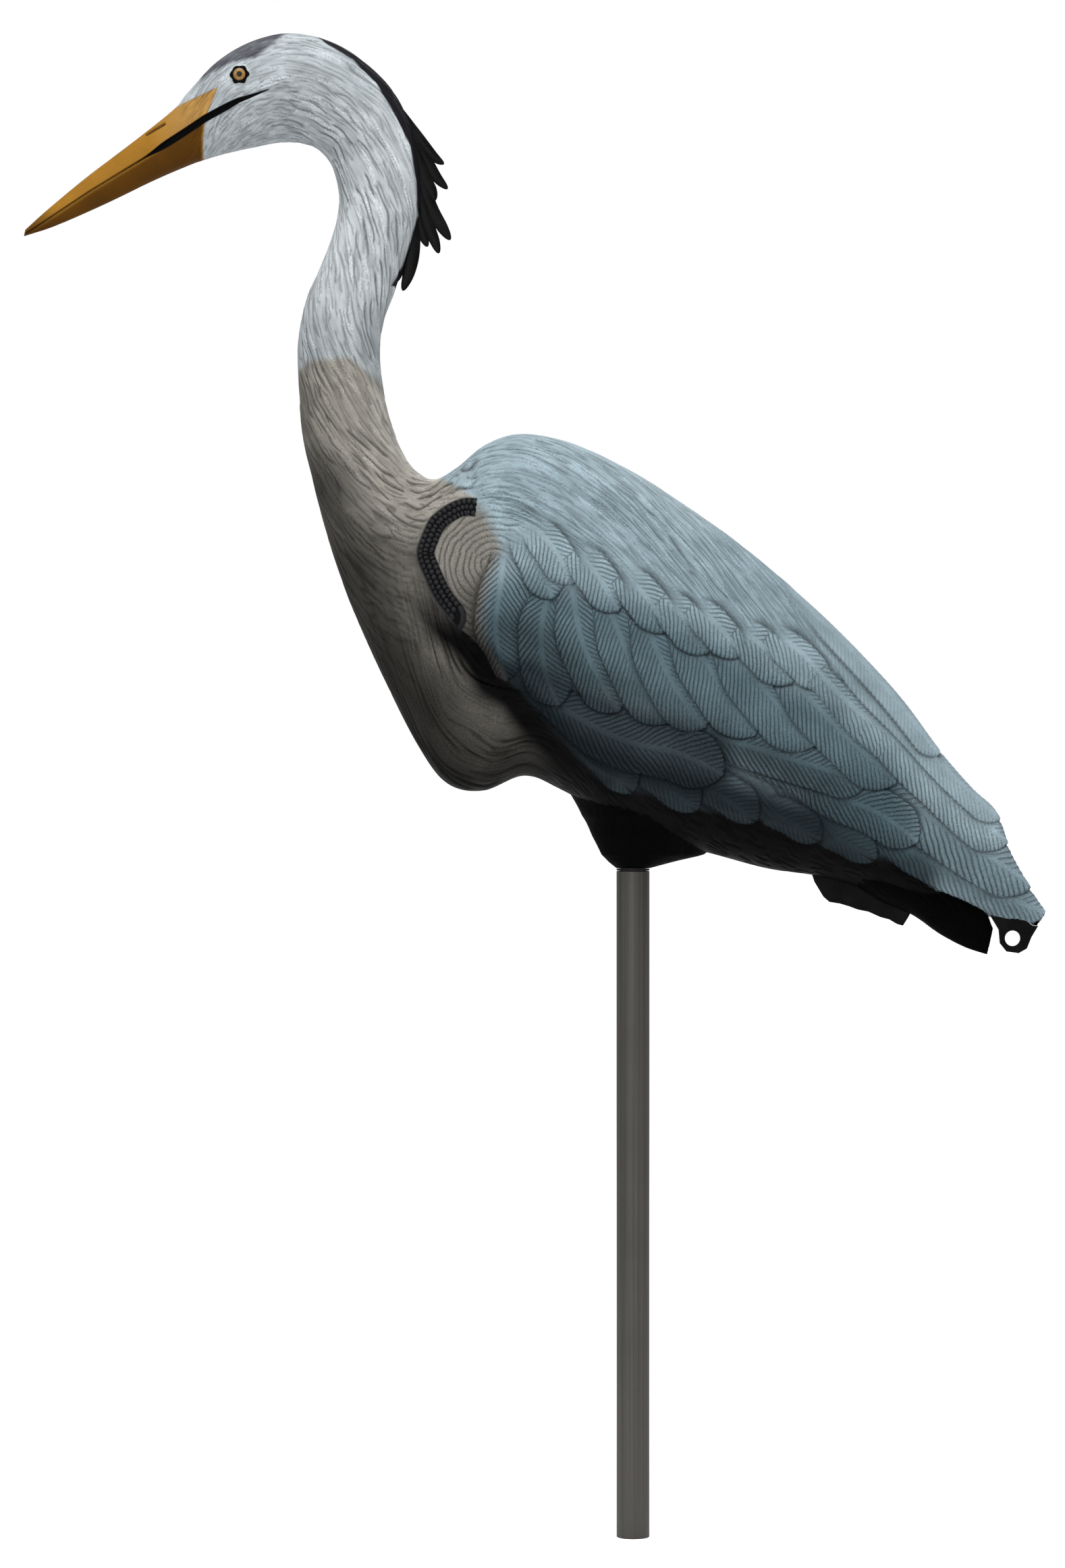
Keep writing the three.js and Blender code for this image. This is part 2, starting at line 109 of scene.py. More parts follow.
def noise(x: Array, y: Array, seed: int) -> Array:
    """Gradient noise over a plane, with cells of one unit.

    Args:
        x: First coordinate.
        y: Second coordinate.
        seed: Which pattern to draw.

    Returns:
        Values of about -0.7 to 0.7.
    """
    cell_x, cell_y = np.floor(x), np.floor(y)
    in_x, in_y = x - cell_x, y - cell_y

    def corner(step_x: int, step_y: int) -> Array:
        """The part that one corner of the cell adds."""
        mixed = (cell_x + step_x).astype(np.int64) * SCATTER_X
        mixed = mixed + (cell_y + step_y).astype(np.int64) * SCATTER_Y
        mixed = (mixed + (seed + SEED) * SCATTER_SEED) & LOW_32_BITS
        mixed = ((mixed ^ (mixed >> 13)) * SCATTER_LAST) & LOW_32_BITS
        angle = ((mixed ^ (mixed >> 16)) & LOW_16_BITS) * (2 * math.pi / LOW_16_BITS)
        return np.cos(angle) * (in_x - step_x) + np.sin(angle) * (in_y - step_y)

    ease_x = in_x * in_x * in_x * (in_x * (in_x * 6 - 15) + 10)
    ease_y = in_y * in_y * in_y * (in_y * (in_y * 6 - 15) + 10)
    low = corner(0, 0) + ease_x * (corner(1, 0) - corner(0, 0))
    high = corner(0, 1) + ease_x * (corner(1, 1) - corner(0, 1))
    return low + ease_y * (high - low)


def through(points: Array, at: Array) -> Array:
    """A smooth curve through points.

    Args:
        points: One row for each point.
        at: Places on the curve, in whole points from the first.

    Returns:
        One row for each place.
    """
    last = len(points) - 1
    start = np.clip(np.floor(at).astype(int), 0, last - 1)
    t = (at - start)[:, None]
    here, after = points[start], points[start + 1]
    before = np.where((start > 0)[:, None], points[np.maximum(start - 1, 0)], 2 * here - after)
    beyond = np.where((start + 2 <= last)[:, None], points[np.minimum(start + 2, last)], 2 * after - here)
    curved = 2 * before - 5 * here + 4 * after - beyond + t * (3 * (here - after) + beyond - before)
    return here + 0.5 * t * ((after - before) + t * curved)


def distance_to_line(x: Array, z: Array, line: tuple[Point, ...]) -> tuple[Array, Array]:
    """How far points lie from a line of straight stretches.

    Args:
        x: First coordinates.
        z: Second coordinates.
        line: The line's corners.

    Returns:
        The distance, positive on the left of the line's direction, and how far along the line the nearest
        place is.
    """
    best = np.full(x.shape, np.inf)
    signed = np.zeros(x.shape)
    along = np.zeros(x.shape)
    run = 0.0
    for (ax, az), (bx, bz) in zip(line, line[1:]):
        dx, dz = bx - ax, bz - az
        length = math.hypot(dx, dz)
        share = np.clip(((x - ax) * dx + (z - az) * dz) / length**2, 0, 1)
        gap = np.hypot(x - ax - share * dx, z - az - share * dz)
        nearer = gap < best
        side = np.where(dx * (z - az) - dz * (x - ax) > 0, 1.0, -1.0)
        best = np.where(nearer, gap, best)
        signed = np.where(nearer, gap * side, signed)
        along = np.where(nearer, run + share * length, along)
        run += length
    return signed, along


def distance_to_shape(x: Array, z: Array, corners: tuple[Point, ...]) -> Array:
    """How far points lie inside a closed outline.

    Args:
        x: First coordinates.
        z: Second coordinates.
        corners: The outline's corners, in order.

    Returns:
        The distance to the outline, positive inside it.
    """
    closed = corners + corners[:1]
    gap, _ = distance_to_line(x, z, closed)
    inside = np.zeros(x.shape, bool)
    for (ax, az), (bx, bz) in zip(closed, closed[1:]):
        if az != bz:
            crossed = (az > z) != (bz > z)
            inside ^= crossed & (x < (bx - ax) * (z - az) / (bz - az) + ax)
    return np.where(inside, np.abs(gap), -np.abs(gap))


def groove(across: Array, along: Array, width: float, length: float, seed: int, sharp: float = 0.62) -> Array:
    """Wandering grooves that start and end at their own places, as strands of feathering are carved.

    Args:
        across: Place across the grooves.
        along: Place along them.
        width: Usual distance between two grooves.
        length: A groove's usual length.
        seed: Which pattern to draw.
        sharp: How wide a groove is, as a share of the distance between two.

    Returns:
        0 on the surface, 1 in a groove.
    """
    wander = 1.3 * noise(along / (1.6 * length), across / (4 * width), seed)
    wander = wander + 0.75 * noise(along / (0.7 * length), across / (1.5 * width), seed + 1)
    phase = across / width + wander
    strand = np.floor(phase)
    off = np.abs(2 * (phase - strand) - 1)
    start = 9 * noise(strand * 0.37 + 0.11, 0 * strand + 0.53, seed + 2)
    uneven = 2.5 * noise(along / length, strand * 0.61, seed + 3)
    run = np.sin(2 * math.pi * (along / (1.9 * length) + start) + uneven)
    lasting = smooth(run, -0.55, 0.35)
    depth = 0.55 + 0.45 * np.sin(strand * 12.9898 + seed)
    return (1 - smooth(off, 0.0, sharp * (0.5 + 0.5 * lasting))) * lasting * (0.55 + 0.45 * depth)


# ---- the bird's form ----

# Each station has a point on the back line (x, z), the facing point on the front and belly line (x, z), the
# half width between them, how far the widest place is drawn up or down, and the section's fullness (lower is
# squarer).
STATIONS = (
    (-405, 426, -406, 421.5, 1.6, 1, 0.9),
    (-390, 439.5, -385, 428.5, 3.8, 1, 0.9),
    (-364, 461, -352, 443, 7, 1, 0.9),
    (-331, 486, -320, 458.5, 10.5, 1, 0.9),
    (-306, 506, -297, 468.5, 13.5, 1, 0.85),
    (-297, 517, -284, 473, 16.5, 1, 0.8),
    (-277, 538, -270, 477, 21.5, 1, 0.75),
    (-252, 552, -252, 481, 25, 1, 0.75),
    (-225, 556.8, -236, 484, 26.5, 1, 0.8),
    (-195, 548.5, -222, 483.5, 26, 1, 0.85),
    (-168, 528, -210, 479, 25.5, 1, 0.9),
    (-152, 505, -201, 468, 25, 1, 0.9),
    (-143.5, 476, -196.5, 450, 24.5, 1, 0.9),
    (-141.5, 448, -197.5, 434, 24, 1, 0.9),
    (-144, 427, -202, 418, 24, 1, 0.9),
    (-151, 407, -210, 398, 24.5, 1, 0.9),
    (-158.5, 385, -217, 383, 25, 1, 0.9),
    (-166, 364, -222, 363, 26, 1, 0.9),
    (-168.3, 345, -224, 343, 27, 1, 0.9),
    (-167, 326, -223, 320, 28.5, 1, 0.9),
    (-162, 301, -221, 290, 31, 1, 0.9),
    (-153, 277, -214, 259, 35, 1, 0.9),
    (-143, 264, -203, 218, 41, 1, 0.85),
    (-131.5, 259.5, -188, 175, 49, 1.05, 0.8),
    (-118, 266.5, -167, 128, 57, 1.1, 0.75),
    (-100, 281, -143, 81, 63, 1.15, 0.7),
    (-78, 289, -124, 56.5, 66, 1.15, 0.7),
    (-52, 286.5, -100, 51.5, 68, 1.1, 0.72),
    (-24, 276.5, -72, 61.5, 69.5, 1, 0.75),
    (6, 261, -46, 51, 70, 0.95, 0.78),
    (36, 241.5, -14, 33, 69, 0.9, 0.8),
    (66, 220.5, 22, 18, 66.5, 0.85, 0.82),
    (96, 196.5, 56, 8.5, 62, 0.8, 0.84),
    (126, 170, 90, -0.5, 56, 0.78, 0.86),
    (154, 142, 124, -5.5, 49, 0.75, 0.88),
    (180, 113, 156, -14, 41, 0.72, 0.9),
    (204, 80.5, 186, -22, 32, 0.7, 0.9),
    (226, 54.5, 210, -25, 23, 0.7, 0.9),
    (243, 37.5, 234, -33, 14, 0.8, 0.9),
    (253, 10, 250, -38, 8, 0.9, 0.9),
    (268, -17, 265, -40, 4, 1, 0.9),
    (274.5, -27, 273, -35, 1.6, 1, 0.9),
)

# The tail under the wing tips, as stations of the same kind.
TAIL_STATIONS = (
    (138, 22, 134, 0, 22, 1, 0.8),
    (170, 6, 160, -19, 21, 1, 0.8),
    (197, -4, 186, -31, 17, 1, 0.8),
    (217, -12, 204, -43.5, 12, 1, 0.8),
    (233, -25, 221, -52.5, 7, 1, 0.8),
    (240, -40, 236, -57.5, 2, 1, 0.8),
)

# The thigh, as level rings: height over the mouth, centre x, half length along X, half width along Y.
THIGH_RINGS = (
    (0, 0, 11, 11),
    (4, 5, 21, 15),
    (9, 13, 34, 20),
    (21, 17, 44, 28),
    (35, 21, 55, 36),
    (60, 21, 69, 46),
)

# The wing's front and lower edge, from the top of the shoulder round to the wing's tip.
WING_EDGE: tuple[Point, ...] = (
    (-103, 243), (-112, 243.5), (-122, 240), (-134, 231), (-141, 216), (-143, 206), (-139, 194), (-131, 177),
    (-122, 165), (-108, 152), (-98, 141), (-91, 126), (-76.5, 117), (-62, 98.5), (-46.5, 83), (-31, 66.5),
    (-1, 51), (39, 39), (80, 32), (120, 19), (154, 7), (191, 1), (225, -14), (267, -35),
)

# The whole wing and back in the side view, closed outside the bird.
WING_SHAPE = WING_EDGE + ((330, -35), (330, 420), (-103, 420))


@dataclass
class Skin:
    """A stretch of one side's bare surface: rows along the bird, columns from back line to belly line.

    Attributes:
        place: The points, one row of columns for each row, on the left side.
        along: Each row's distance from the bill's tip.
        arc: Each point's distance from the back line, over the surface.
        girth: Each row's whole arc.
    """

    place: Array
    along: Array
    arc: Array
    girth: Array

    @property
    def x(self) -> Array:
        """The points' places along the bird."""
        return self.place[..., 0]

    @property
    def z(self) -> Array:
        """The points' heights."""
        return self.place[..., 2]

    def outward(self) -> Array:
        """The surface's outward direction at each point."""
        down, across = np.gradient(self.place, axis=0), np.gradient(self.place, axis=1)
        facing = np.cross(across, down)
        facing[:, (0, -1), 1] = 0
        facing /= np.maximum(np.linalg.norm(facing, axis=-1, keepdims=True), 1e-9)
        middle = self.place.shape[1] // 2
        return facing * np.where(facing[:, middle, 1].mean() > 0, -1, 1)


@dataclass(frozen=True)
class Form:
    """A smooth form through stations.

    Attributes:
        stations: The stations, front to rear.
        wing_stands: How far a wing's edge stands out from the form.
    """

    stations: tuple[tuple[float, ...], ...]
    wing_stands: float = 0.0

    ARC_STEPS = 160
    ROW_STEPS = 30

    def _lines(self, at: Array) -> Array:
        """The stations' values at places between them."""
        return through(np.array(self.stations, float), at)

    def _mean_run(self, places: Array) -> Array:
        """The distance along the form, halfway between the back line and the belly line."""
        values = self._lines(places)
        steps = np.diff(values, axis=0)
        mean = 0.5 * (np.hypot(steps[:, 0], steps[:, 1]) + np.hypot(steps[:, 2], steps[:, 3]))
        return np.concatenate([[0], np.cumsum(mean)])

    def rows(self, first: float, last: float, step: float) -> Array:
        """Places for rows that lie evenly.

        Args:
            first: The station to start at.
            last: The station to end at.
            step: The usual distance between rows.

        Returns:
            The places, in whole stations, with one more row before the first and after the last.
        """
        fine = np.linspace(first, last, int(self.ROW_STEPS * (last - first)) + 1)
        run = self._mean_run(fine)
        count = max(2, round(run[-1] / step))
        places = np.interp(np.linspace(0, run[-1], count + 1), run, fine)
        before = max(0.0, 2 * places[0] - places[1])
        after = min(len(self.stations) - 1.0, 2 * places[-1] - places[-2])
        return np.concatenate([[before], places, [after]])

    def skin(self, places: Array, columns: int, inset: float = 0.0) -> Skin:
        """The bare surface at rows.

        Args:
            places: The rows' places, in whole stations.
            columns: How many columns to make between the back line and the belly line.
            inset: How far inside the surface to stay.

        Returns:
            The surface's points and their distances.
        """
        values = self._lines(places)
        back, belly = values[:, 0:2], values[:, 2:4]
        chord = belly - back
        length = np.linalg.norm(chord, axis=1, keepdims=True)
        back = back + chord * inset / length
        chord = chord * (length - 2 * inset) / length
        turn = np.linspace(0, math.pi, self.ARC_STEPS)
        even = np.broadcast_to(turn, (len(places), self.ARC_STEPS))
        place = self._sections(back, chord, values, even, inset)
        arcs = np.zeros((len(places), self.ARC_STEPS))
        arcs[:, 1:] = np.cumsum(np.linalg.norm(np.diff(place, axis=1), axis=-1), axis=1)
        girth = arcs[:, -1:]
        wanted = np.linspace(0, 1, columns + 1)
        turns = np.stack([np.interp(wanted, row / row[-1], turn) for row in arcs])
        place = self._sections(back, chord, values, turns, inset)
        place[:, (0, -1), 1] = 0
        whole = np.linspace(0, len(self.stations) - 1, self.ROW_STEPS * len(self.stations))
        along = np.interp(places, whole, self._mean_run(whole))[:, None]
        return Skin(place, along, wanted[None, :] * girth, girth)

    def _sections(self, back: Array, chord: Array, values: Array, turns: Array, inset: float) -> Array:
        """The left side's points at angles from the back line (0) to the belly line (pi)."""
        draw, full = values[:, 5:6], values[:, 6:7]
        width = np.maximum(values[:, 4:5] - inset, 0.3)
        share = ((1 - np.cos(turns)) / 2) ** draw
        bulge = np.maximum(np.sin(turns), 0) ** full
        x = back[:, 0:1] + chord[:, 0:1] * share
        z = back[:, 1:2] + chord[:, 1:2] * share
        y = -width * bulge
        if self.wing_stands:
            y = y - self.wing_stands * wing_rise(x, z) * np.minimum(1, 2 * bulge)
        return np.stack([x, y, z], axis=-1)


def wing_rise(x: Array, z: Array) -> Array:
    """How far the wing stands out of the body, from 0 to 1, with a hollow just outside its edge.

    Args:
        x: Places along the bird.
        z: Heights.

    Returns:
        The share of the wing's full rise.
    """
    depth = distance_to_shape(x, z, WING_SHAPE)
    rise = smooth(depth, -2.0, 3.0) * (1 - smooth(depth, 12, 110)) * (1 - smooth(z, 196, 240))
    hollow = 0.45 * smooth(-depth, 0, 5) * (1 - smooth(-depth, 8, 30))
    return rise - hollow


# ---- carved relief ----


@dataclass
class Relief:
    """What is carved and painted into a skin: depths in millimetres and shares of paint.

    Attributes:
        height: Height against the bare surface, never above it.
        wash_and_shade: How much dark paint lies in the hollows: partly a wiped paint, partly painted shade in
            grooves and under overlapping edges.
        dry: How much pale paint lies on the ridges: partly pale paint caught by the ridges, partly painted
            highlights where light catches.
        phase: Where a point lies from barb to barb, in whole barbs.
        barbs: How strongly the barbs show.
    """

    height: Array
    wash_and_shade: Array
    dry: Array
    phase: Array
    barbs: Array

    @classmethod
    def bare(cls, height: Array, wash_and_shade: Array, dry: Array) -> "Relief":
        """A relief without barbs."""
        return cls(height, wash_and_shade, dry, np.zeros(height.shape), np.zeros(height.shape))

    def lay(self, over: "Relief", share: Array) -> "Relief":
        """This relief with another one laid over it by a share."""
        mixed = Relief(*(low + (high - low) * share for low, high in zip(self.parts(), over.parts())))
        mixed.phase = np.where(share > 0.02, over.phase, self.phase)
        return mixed

    def parts(self) -> tuple[Array, ...]:
        """The height, the dark hollow paint with its painted shade, the pale ridge paint with its painted
        highlights, the place between barbs and the barbs' strength.
        """
        return self.height, self.wash_and_shade, self.dry, self.phase, self.barbs


@dataclass(frozen=True)
class Feather:
    """One carved feather in the side view.

    Attributes:
        shaft: Points along its shaft, root to tip.
        upper: Width of the vane on the shaft's upper or rear side.
        lower: Width of the vane on its lower or front side.
        barb: Distance between two barbs.
        bold: How deep the barbs are cut.
        root: How far from its root the feather comes out of what lies over it.
        low: Height at the root.
        high: Height at the tip.
    """

    shaft: tuple[Point, ...]
    upper: float = 15.0
    lower: float = 15.0
    barb: float = 3.1
    bold: float = 1.0
    root: float = 12.0
    low: float = -1.9
    high: float = -0.35

    # How far the barbs sweep back, how far apart they lie along the shaft, and how deep they are cut.
    SLANT, SPREAD, BARB_DEPTH = 1.15, 1.36, 0.42
    STEPS = 20
    # The ditch cut round the feather, and how far the painted shadow that its edge casts reaches past it.
    RIM, RIM_DEPTH, SHADE = 3.8, 0.9, 8.0
    SHAFT_RISE, SAG, EDGE_DROP = 0.22, 0.45, 0.6

    def carve(self, relief: Relief, skin: Skin) -> None:
        """Cuts the feather into a relief, over whatever is there.

        Args:
            relief: The relief to cut.
            skin: The skin that it belongs to.
        """
        margin = max(self.upper, self.lower) + self.SHADE
        corners = np.array(self.shaft, float)
        low, high = corners.min(0) - margin, corners.max(0) + margin
        near = (skin.x > low[0]) & (skin.x < high[0]) & (skin.z > low[1]) & (skin.z < high[1])
        if not near.any():
            return
        line = through(corners, np.linspace(0, len(corners) - 1, self.STEPS))
        away, along = distance_to_line(skin.x[near], skin.z[near], tuple(map(tuple, line)))
        length = np.linalg.norm(np.diff(line, axis=0), axis=1).sum()
        own, edge, share = self._form(away, along, length)
        under = Relief(*(part[near] for part in relief.parts()))
        # Past its edge, what lies under the feather gets dark paint in the ditch and a broader painted
        # shadow, and loses its pale ridge paint there.
        rim = np.clip(1 + edge / self.RIM, 0, 1) * (edge < 0) * smooth(along, 0.1 * length, 0.35 * length)
        under.height = under.height - self.RIM_DEPTH * rim
        shade = np.clip(1 + edge / self.SHADE, 0, 1) * (edge < 0) * smooth(along, 0.1 * length, 0.4 * length)
        under.wash_and_shade = np.maximum(under.wash_and_shade, np.maximum(rim**0.6, 0.62 * shade))
        under.dry = under.dry * (1 - np.maximum(rim, 0.8 * shade))
        for whole, part in zip(relief.parts(), under.lay(own, share).parts()):
            whole[near] = part

    def _form(self, away: Array, along: Array, length: float) -> tuple[Relief, Array, Array]:
        """The feather's own relief at points.

        Args:
            away: Distance from the shaft, positive on the upper side.
            along: Distance along the shaft.
            length: The shaft's length.

        Returns:
            Its relief, the distance inside its outline and the share that it covers.
        """
        t = along / length
        gap = np.abs(away)
        vane = np.where(away > 0, self.upper, self.lower)
        rounding = min(0.6, 1.1 * max(self.upper, self.lower) / length)
        tip = np.clip((t - 1 + rounding) / rounding, 0, 1)
        width = vane * (0.6 + 0.4 * smooth(t, 0, 0.4)) * np.maximum(1 - tip**1.7, 0) ** 0.62
        ragged = 0.8 * np.cos((along - gap * self.SLANT) * 2 * math.pi / (self.SPREAD * self.barb))
        edge = width - gap + 0.35 * ragged
        across = gap / np.maximum(width, 0.5)
        phase = (along - gap * self.SLANT) / (self.SPREAD * self.barb) + 0.3 * noise(along / 9, away / 11, 11)
        ridge = np.abs(2 * (phase - np.floor(phase)) - 1) ** 2.2
        shaft = 1 - smooth(gap, 0.9 + 0.5 * (1 - t), 1.9 + 0.7 * (1 - t))
        barbs = ridge * (1 - shaft) * self.bold
        height = self.low + (self.high - self.low) * smooth(t, 0, 1.0) - self.SAG * across**2
        height = height - self.BARB_DEPTH * barbs + self.SHAFT_RISE * shaft
        height = height - self.EDGE_DROP * (1 - smooth(edge, 0, 2.4))
        # Dark paint at the feather's edge and root half, partly painted shade where other feathers overlap
        # it; pale paint on its shaft and outer half, partly painted highlight.
        wash_and_shade = 0.45 * (1 - smooth(edge, 0, 1.3)) + 0.3 * (1 - smooth(t, 0.05, 0.45)) * (1 - 0.6 * shaft)
        dry = 0.5 * shaft + 0.65 * smooth(t, 0.35, 1) * (1 - 0.7 * across)
        show = self.bold * (1 - shaft) * (0.75 + 0.25 * smooth(across, 0.1, 0.7))
        share = smooth(edge, -0.45, 0.45) * smooth(along, 0.15 * self.root, self.root)
        return Relief(np.minimum(height, 0), np.clip(wash_and_shade, 0, 1), dry, phase, show), edge, share


def covert(tip: Point, run: Point, upper: float, lower: float, bold: float = 1.0) -> Feather:
    """A short straight covert.

    Args:
        tip: Its tip.
        run: The way from its root to its tip.
        upper: Width of the upper vane.
        lower: Width of the lower vane.
        bold: How deep the barbs are cut.

    Returns:
        The feather.
    """
    root = (tip[0] - run[0], tip[1] - run[1])
    middle = (tip[0] - 0.5 * run[0] - 0.05 * run[1], tip[1] - 0.5 * run[1] + 0.05 * run[0])
    return Feather((root, middle, tip), upper, lower, bold=bold, root=24.0)


# The wing's feathers, in the order in which they lie on each other, lowest first.
PRIMARIES = (
    Feather(((128, 24), (170, 12), (215, -13), (252, -30), (273, -38)), 14, 9, 3.6, 0.8),
    Feather(((140, 32), (190, 8), (235, -14), (275.5, -30)), 12, 15, 3.4, 0.9),
    Feather(((150, 62), (190, 38), (226, 14), (252, -2), (266, -12)), 16, 21, 4.2, 1.1),
)
LOWER_COVERTS = (
    covert((122, 18), (46, -22), 14, 9, 0.7),
    covert((80, 31), (50, -28), 16, 10, 0.8),
    covert((41, 38), (52, -34), 17, 11, 0.8),
    covert((-1, 50), (48, -40), 16, 11, 0.7),
    covert((159, 5), (44, -20), 14, 9, 0.7),
    Feather(((70, 72), (110, 62), (133, 48), (160, 37), (187, 18)), 17, 16, 3.2, 1.2),
    Feather(((20, 96), (50, 88), (93, 75), (133, 63), (153, 56)), 13, 15, 3.1, 1.2),
    Feather(((-66, 116), (-43, 102), (-21, 90), (0, 82), (28, 76), (57.5, 62)), 19, 19, 3.3, 1.2),
)
SECOND_ROW = (
    Feather(((-85, 212), (-88, 185), (-91, 155), (-84.5, 123)), 20, 14, 3.1, 1.25),
    Feather(((-52, 190), (-61, 160), (-59, 130), (-50, 107)), 17, 15, 3.1, 1.2),
    Feather(((-42, 190), (-35, 150), (-23, 124), (-11, 103)), 15, 16, 3.0, 1.2),
    Feather(((-20, 180), (-7, 146), (7, 117), (21, 96)), 14, 17, 3.0, 1.0),
    Feather(((4, 172), (15, 142), (29, 114), (46, 93)), 13, 17, 3.0, 1.0),
    Feather(((28, 166), (45, 138), (62, 112), (79, 88)), 12, 20, 3.0, 1.0),
    Feather(((56, 158), (76, 130), (97, 104), (118, 81)), 12, 21, 3.0, 1.0),
    Feather(((92, 140), (116, 112), (143, 84), (173, 57)), 12, 19, 3.1, 1.0),
)
FIRST_ROW = (
    covert((-54, 177), (24, -52), 13, 14),
    covert((-40, 187), (32, -44), 11, 13),
    covert((-11, 169), (32, -44), 12, 14),
    covert((22, 156), (34, -42), 12, 15),
    covert((48, 142), (34, -40), 12, 15),
    covert((70, 140), (36, -38), 10, 14),
    covert((104, 123), (40, -40), 12, 16, 1.1),
    covert((130, 121), (44, -40), 9, 16, 0.8),
)
TERTIALS = (
    Feather(
        ((120, 132), (150, 103), (170, 90), (187, 72), (205, 56), (226, 36), (250, 17)), 13, 18, 3.1, 0.95
    ),
    Feather(((118, 164), (150, 128), (182, 96), (211, 64), (245, 33)), 14, 11, 2.8, 0.45),
    Feather(((100, 190), (140, 152), (176, 112), (204, 76)), 12, 10, 2.8, 0.3, low=-0.7),
)
WING = PRIMARIES + LOWER_COVERTS + SECOND_ROW + FIRST_ROW + TERTIALS


@dataclass(frozen=True)
class Plumage:
    """All that is carved into the bird: streaks, ridges, feathers, the shoulder's beads, the bill's lines.

    Attributes:
        bead: Width of one bead of the shoulder's band.
        arc: Distance between two arcs of the shoulder's patch.
    """

    bead: float = 3.8
    arc: float = 4.1

    GAPE = ((-404, 423.5), (-362, 450.5), (-318, 476.5), (-284, 497.5), (-262, 508.5), (-242, 515.5))
    NOSTRIL = ((-324, 488.5), (-312, 495))
    EYE = (-261, 526)
    # Radii from the eye: the socket's floor and edge, and where the ring round the eye rises and falls.
    SOCKET, EYE_RING, SOCKET_DEPTH = (7, 13), (4.4, 5.0, 6.0, 7.2), 0.9
    # The middle of the shoulder's arcs, and how far inside the wing's edge they start and end.
    EAR, PATCH_FROM, PATCH_TO, PATCH_TOP = (-92, 198), (11, 13), (46, 52), 246
    BEAD_ROWS, BEAD_DEPTH = 3, 2.0
    SHOULDER = tuple(map(tuple, through(np.array(WING_EDGE[:9], float), np.linspace(0, 8, 49))))
    # Distances from the bill's tip where each way of carving takes over from the last.
    FACE_AT, NECK_AT, FEATHERED, BODY_AT = 150.0, 250.0, (118, 150), (560, 680)
    # The neck's girth on one side, how far the strands follow the girth below it, and where they start to.
    NECK_GIRTH, FAN, FAN_AT = 90.0, 0.85, (400, 470)
    # Distances from the bill's tip, and how fast the streaks drift from the back line at each.
    DRIFT_AT = (0, 200, 270, 330, 500, 590, 660, 800, 1100)
    DRIFT = (0.0, 0.0, -0.25, -0.5, -0.35, -0.08, 0.2, 0.3, 0.1)
    DRIFT_STEP = 5.0

    def carve(self, skin: Skin) -> Relief:
        """The relief for a skin.

        Args:
            skin: The bare surface.

        Returns:
            What is cut into it.
        """
        relief = self._streaks(skin)
        self._breast(relief, skin)
        self._under_wing(relief, skin)
        self._shoulder(relief, skin)
        for feather in WING:
            feather.carve(relief, skin)
        self._bill(relief, skin)
        return relief

    def _flow(self, along: Array) -> Array:
        """How far the streaks have drifted from the back line, at distances along the bird."""
        fine = np.arange(0, self.DRIFT_AT[-1] + 1, self.DRIFT_STEP)
        slopes = np.interp(fine[1:], self.DRIFT_AT, self.DRIFT)
        drift = np.concatenate([[0], np.cumsum(self.DRIFT_STEP * slopes)])
        return np.interp(along, fine, drift)

    def _streaks(self, skin: Skin) -> Relief:
        """Strands from the head to the back, and others that fan out from the neck over the breast."""
        drift = self._flow(np.broadcast_to(skin.along, skin.x.shape))
        relief = self._strands(skin, skin.arc - drift)
        spread = np.maximum(skin.girth / self.NECK_GIRTH, 1) ** self.FAN
        fan = self._strands(skin, skin.arc / spread - drift)
        outside = smooth(-distance_to_shape(skin.x, skin.z, WING_SHAPE), -4, 4)
        self._put(relief, fan, smooth(skin.along, *self.FAN_AT) * outside)
        return relief

    def _strands(self, skin: Skin, across: Array) -> Relief:
        """Long wandering strands.

        Args:
            skin: The bare surface.
            across: Place across the strands.

        Returns:
            What is cut into the surface.
        """
        along = np.broadcast_to(skin.along, skin.x.shape)
        face = 1 - smooth(along, self.FACE_AT, self.NECK_AT)
        bird = smooth(along, *self.FEATHERED)
        body = smooth(along, *self.BODY_AT)
        long = groove(across, along, 4.6, 30, 1, 0.55)
        mid = groove(across + 1.7, along, 3.0, 18, 12, 0.65)
        fine = groove(across, along, 2.1, 9, 23, 0.9)
        dense = groove(across + 0.9, along, 2.7, 46, 57, 0.8)
        calm = 1 - 0.7 * smooth(skin.x, 90, 180)
        neck = np.maximum(np.maximum(long, 0.7 * mid), (0.5 + 0.4 * body) * dense)
        cut = (neck * (1 - face) + 0.55 * np.maximum(mid, fine) * face) * calm
        swell = noise(across / 4.5, along / 30, 44)
        height = -bird * (0.35 + 0.85 * cut + 0.16 * fine - 0.35 * swell * (1 - face))
        # Dark paint in the strands' grooves is partly painted shade; pale paint on the swells is partly
        # painted highlight.
        wash_and_shade = bird * np.clip((1.0 - 0.25 * body) * cut + 0.22 * fine, 0, 1)
        dry = bird * calm * np.clip(smooth(swell, -0.05, 0.35) * (1 - cut), 0, 1)
        return Relief.bare(np.minimum(height, 0), wash_and_shade, dry)

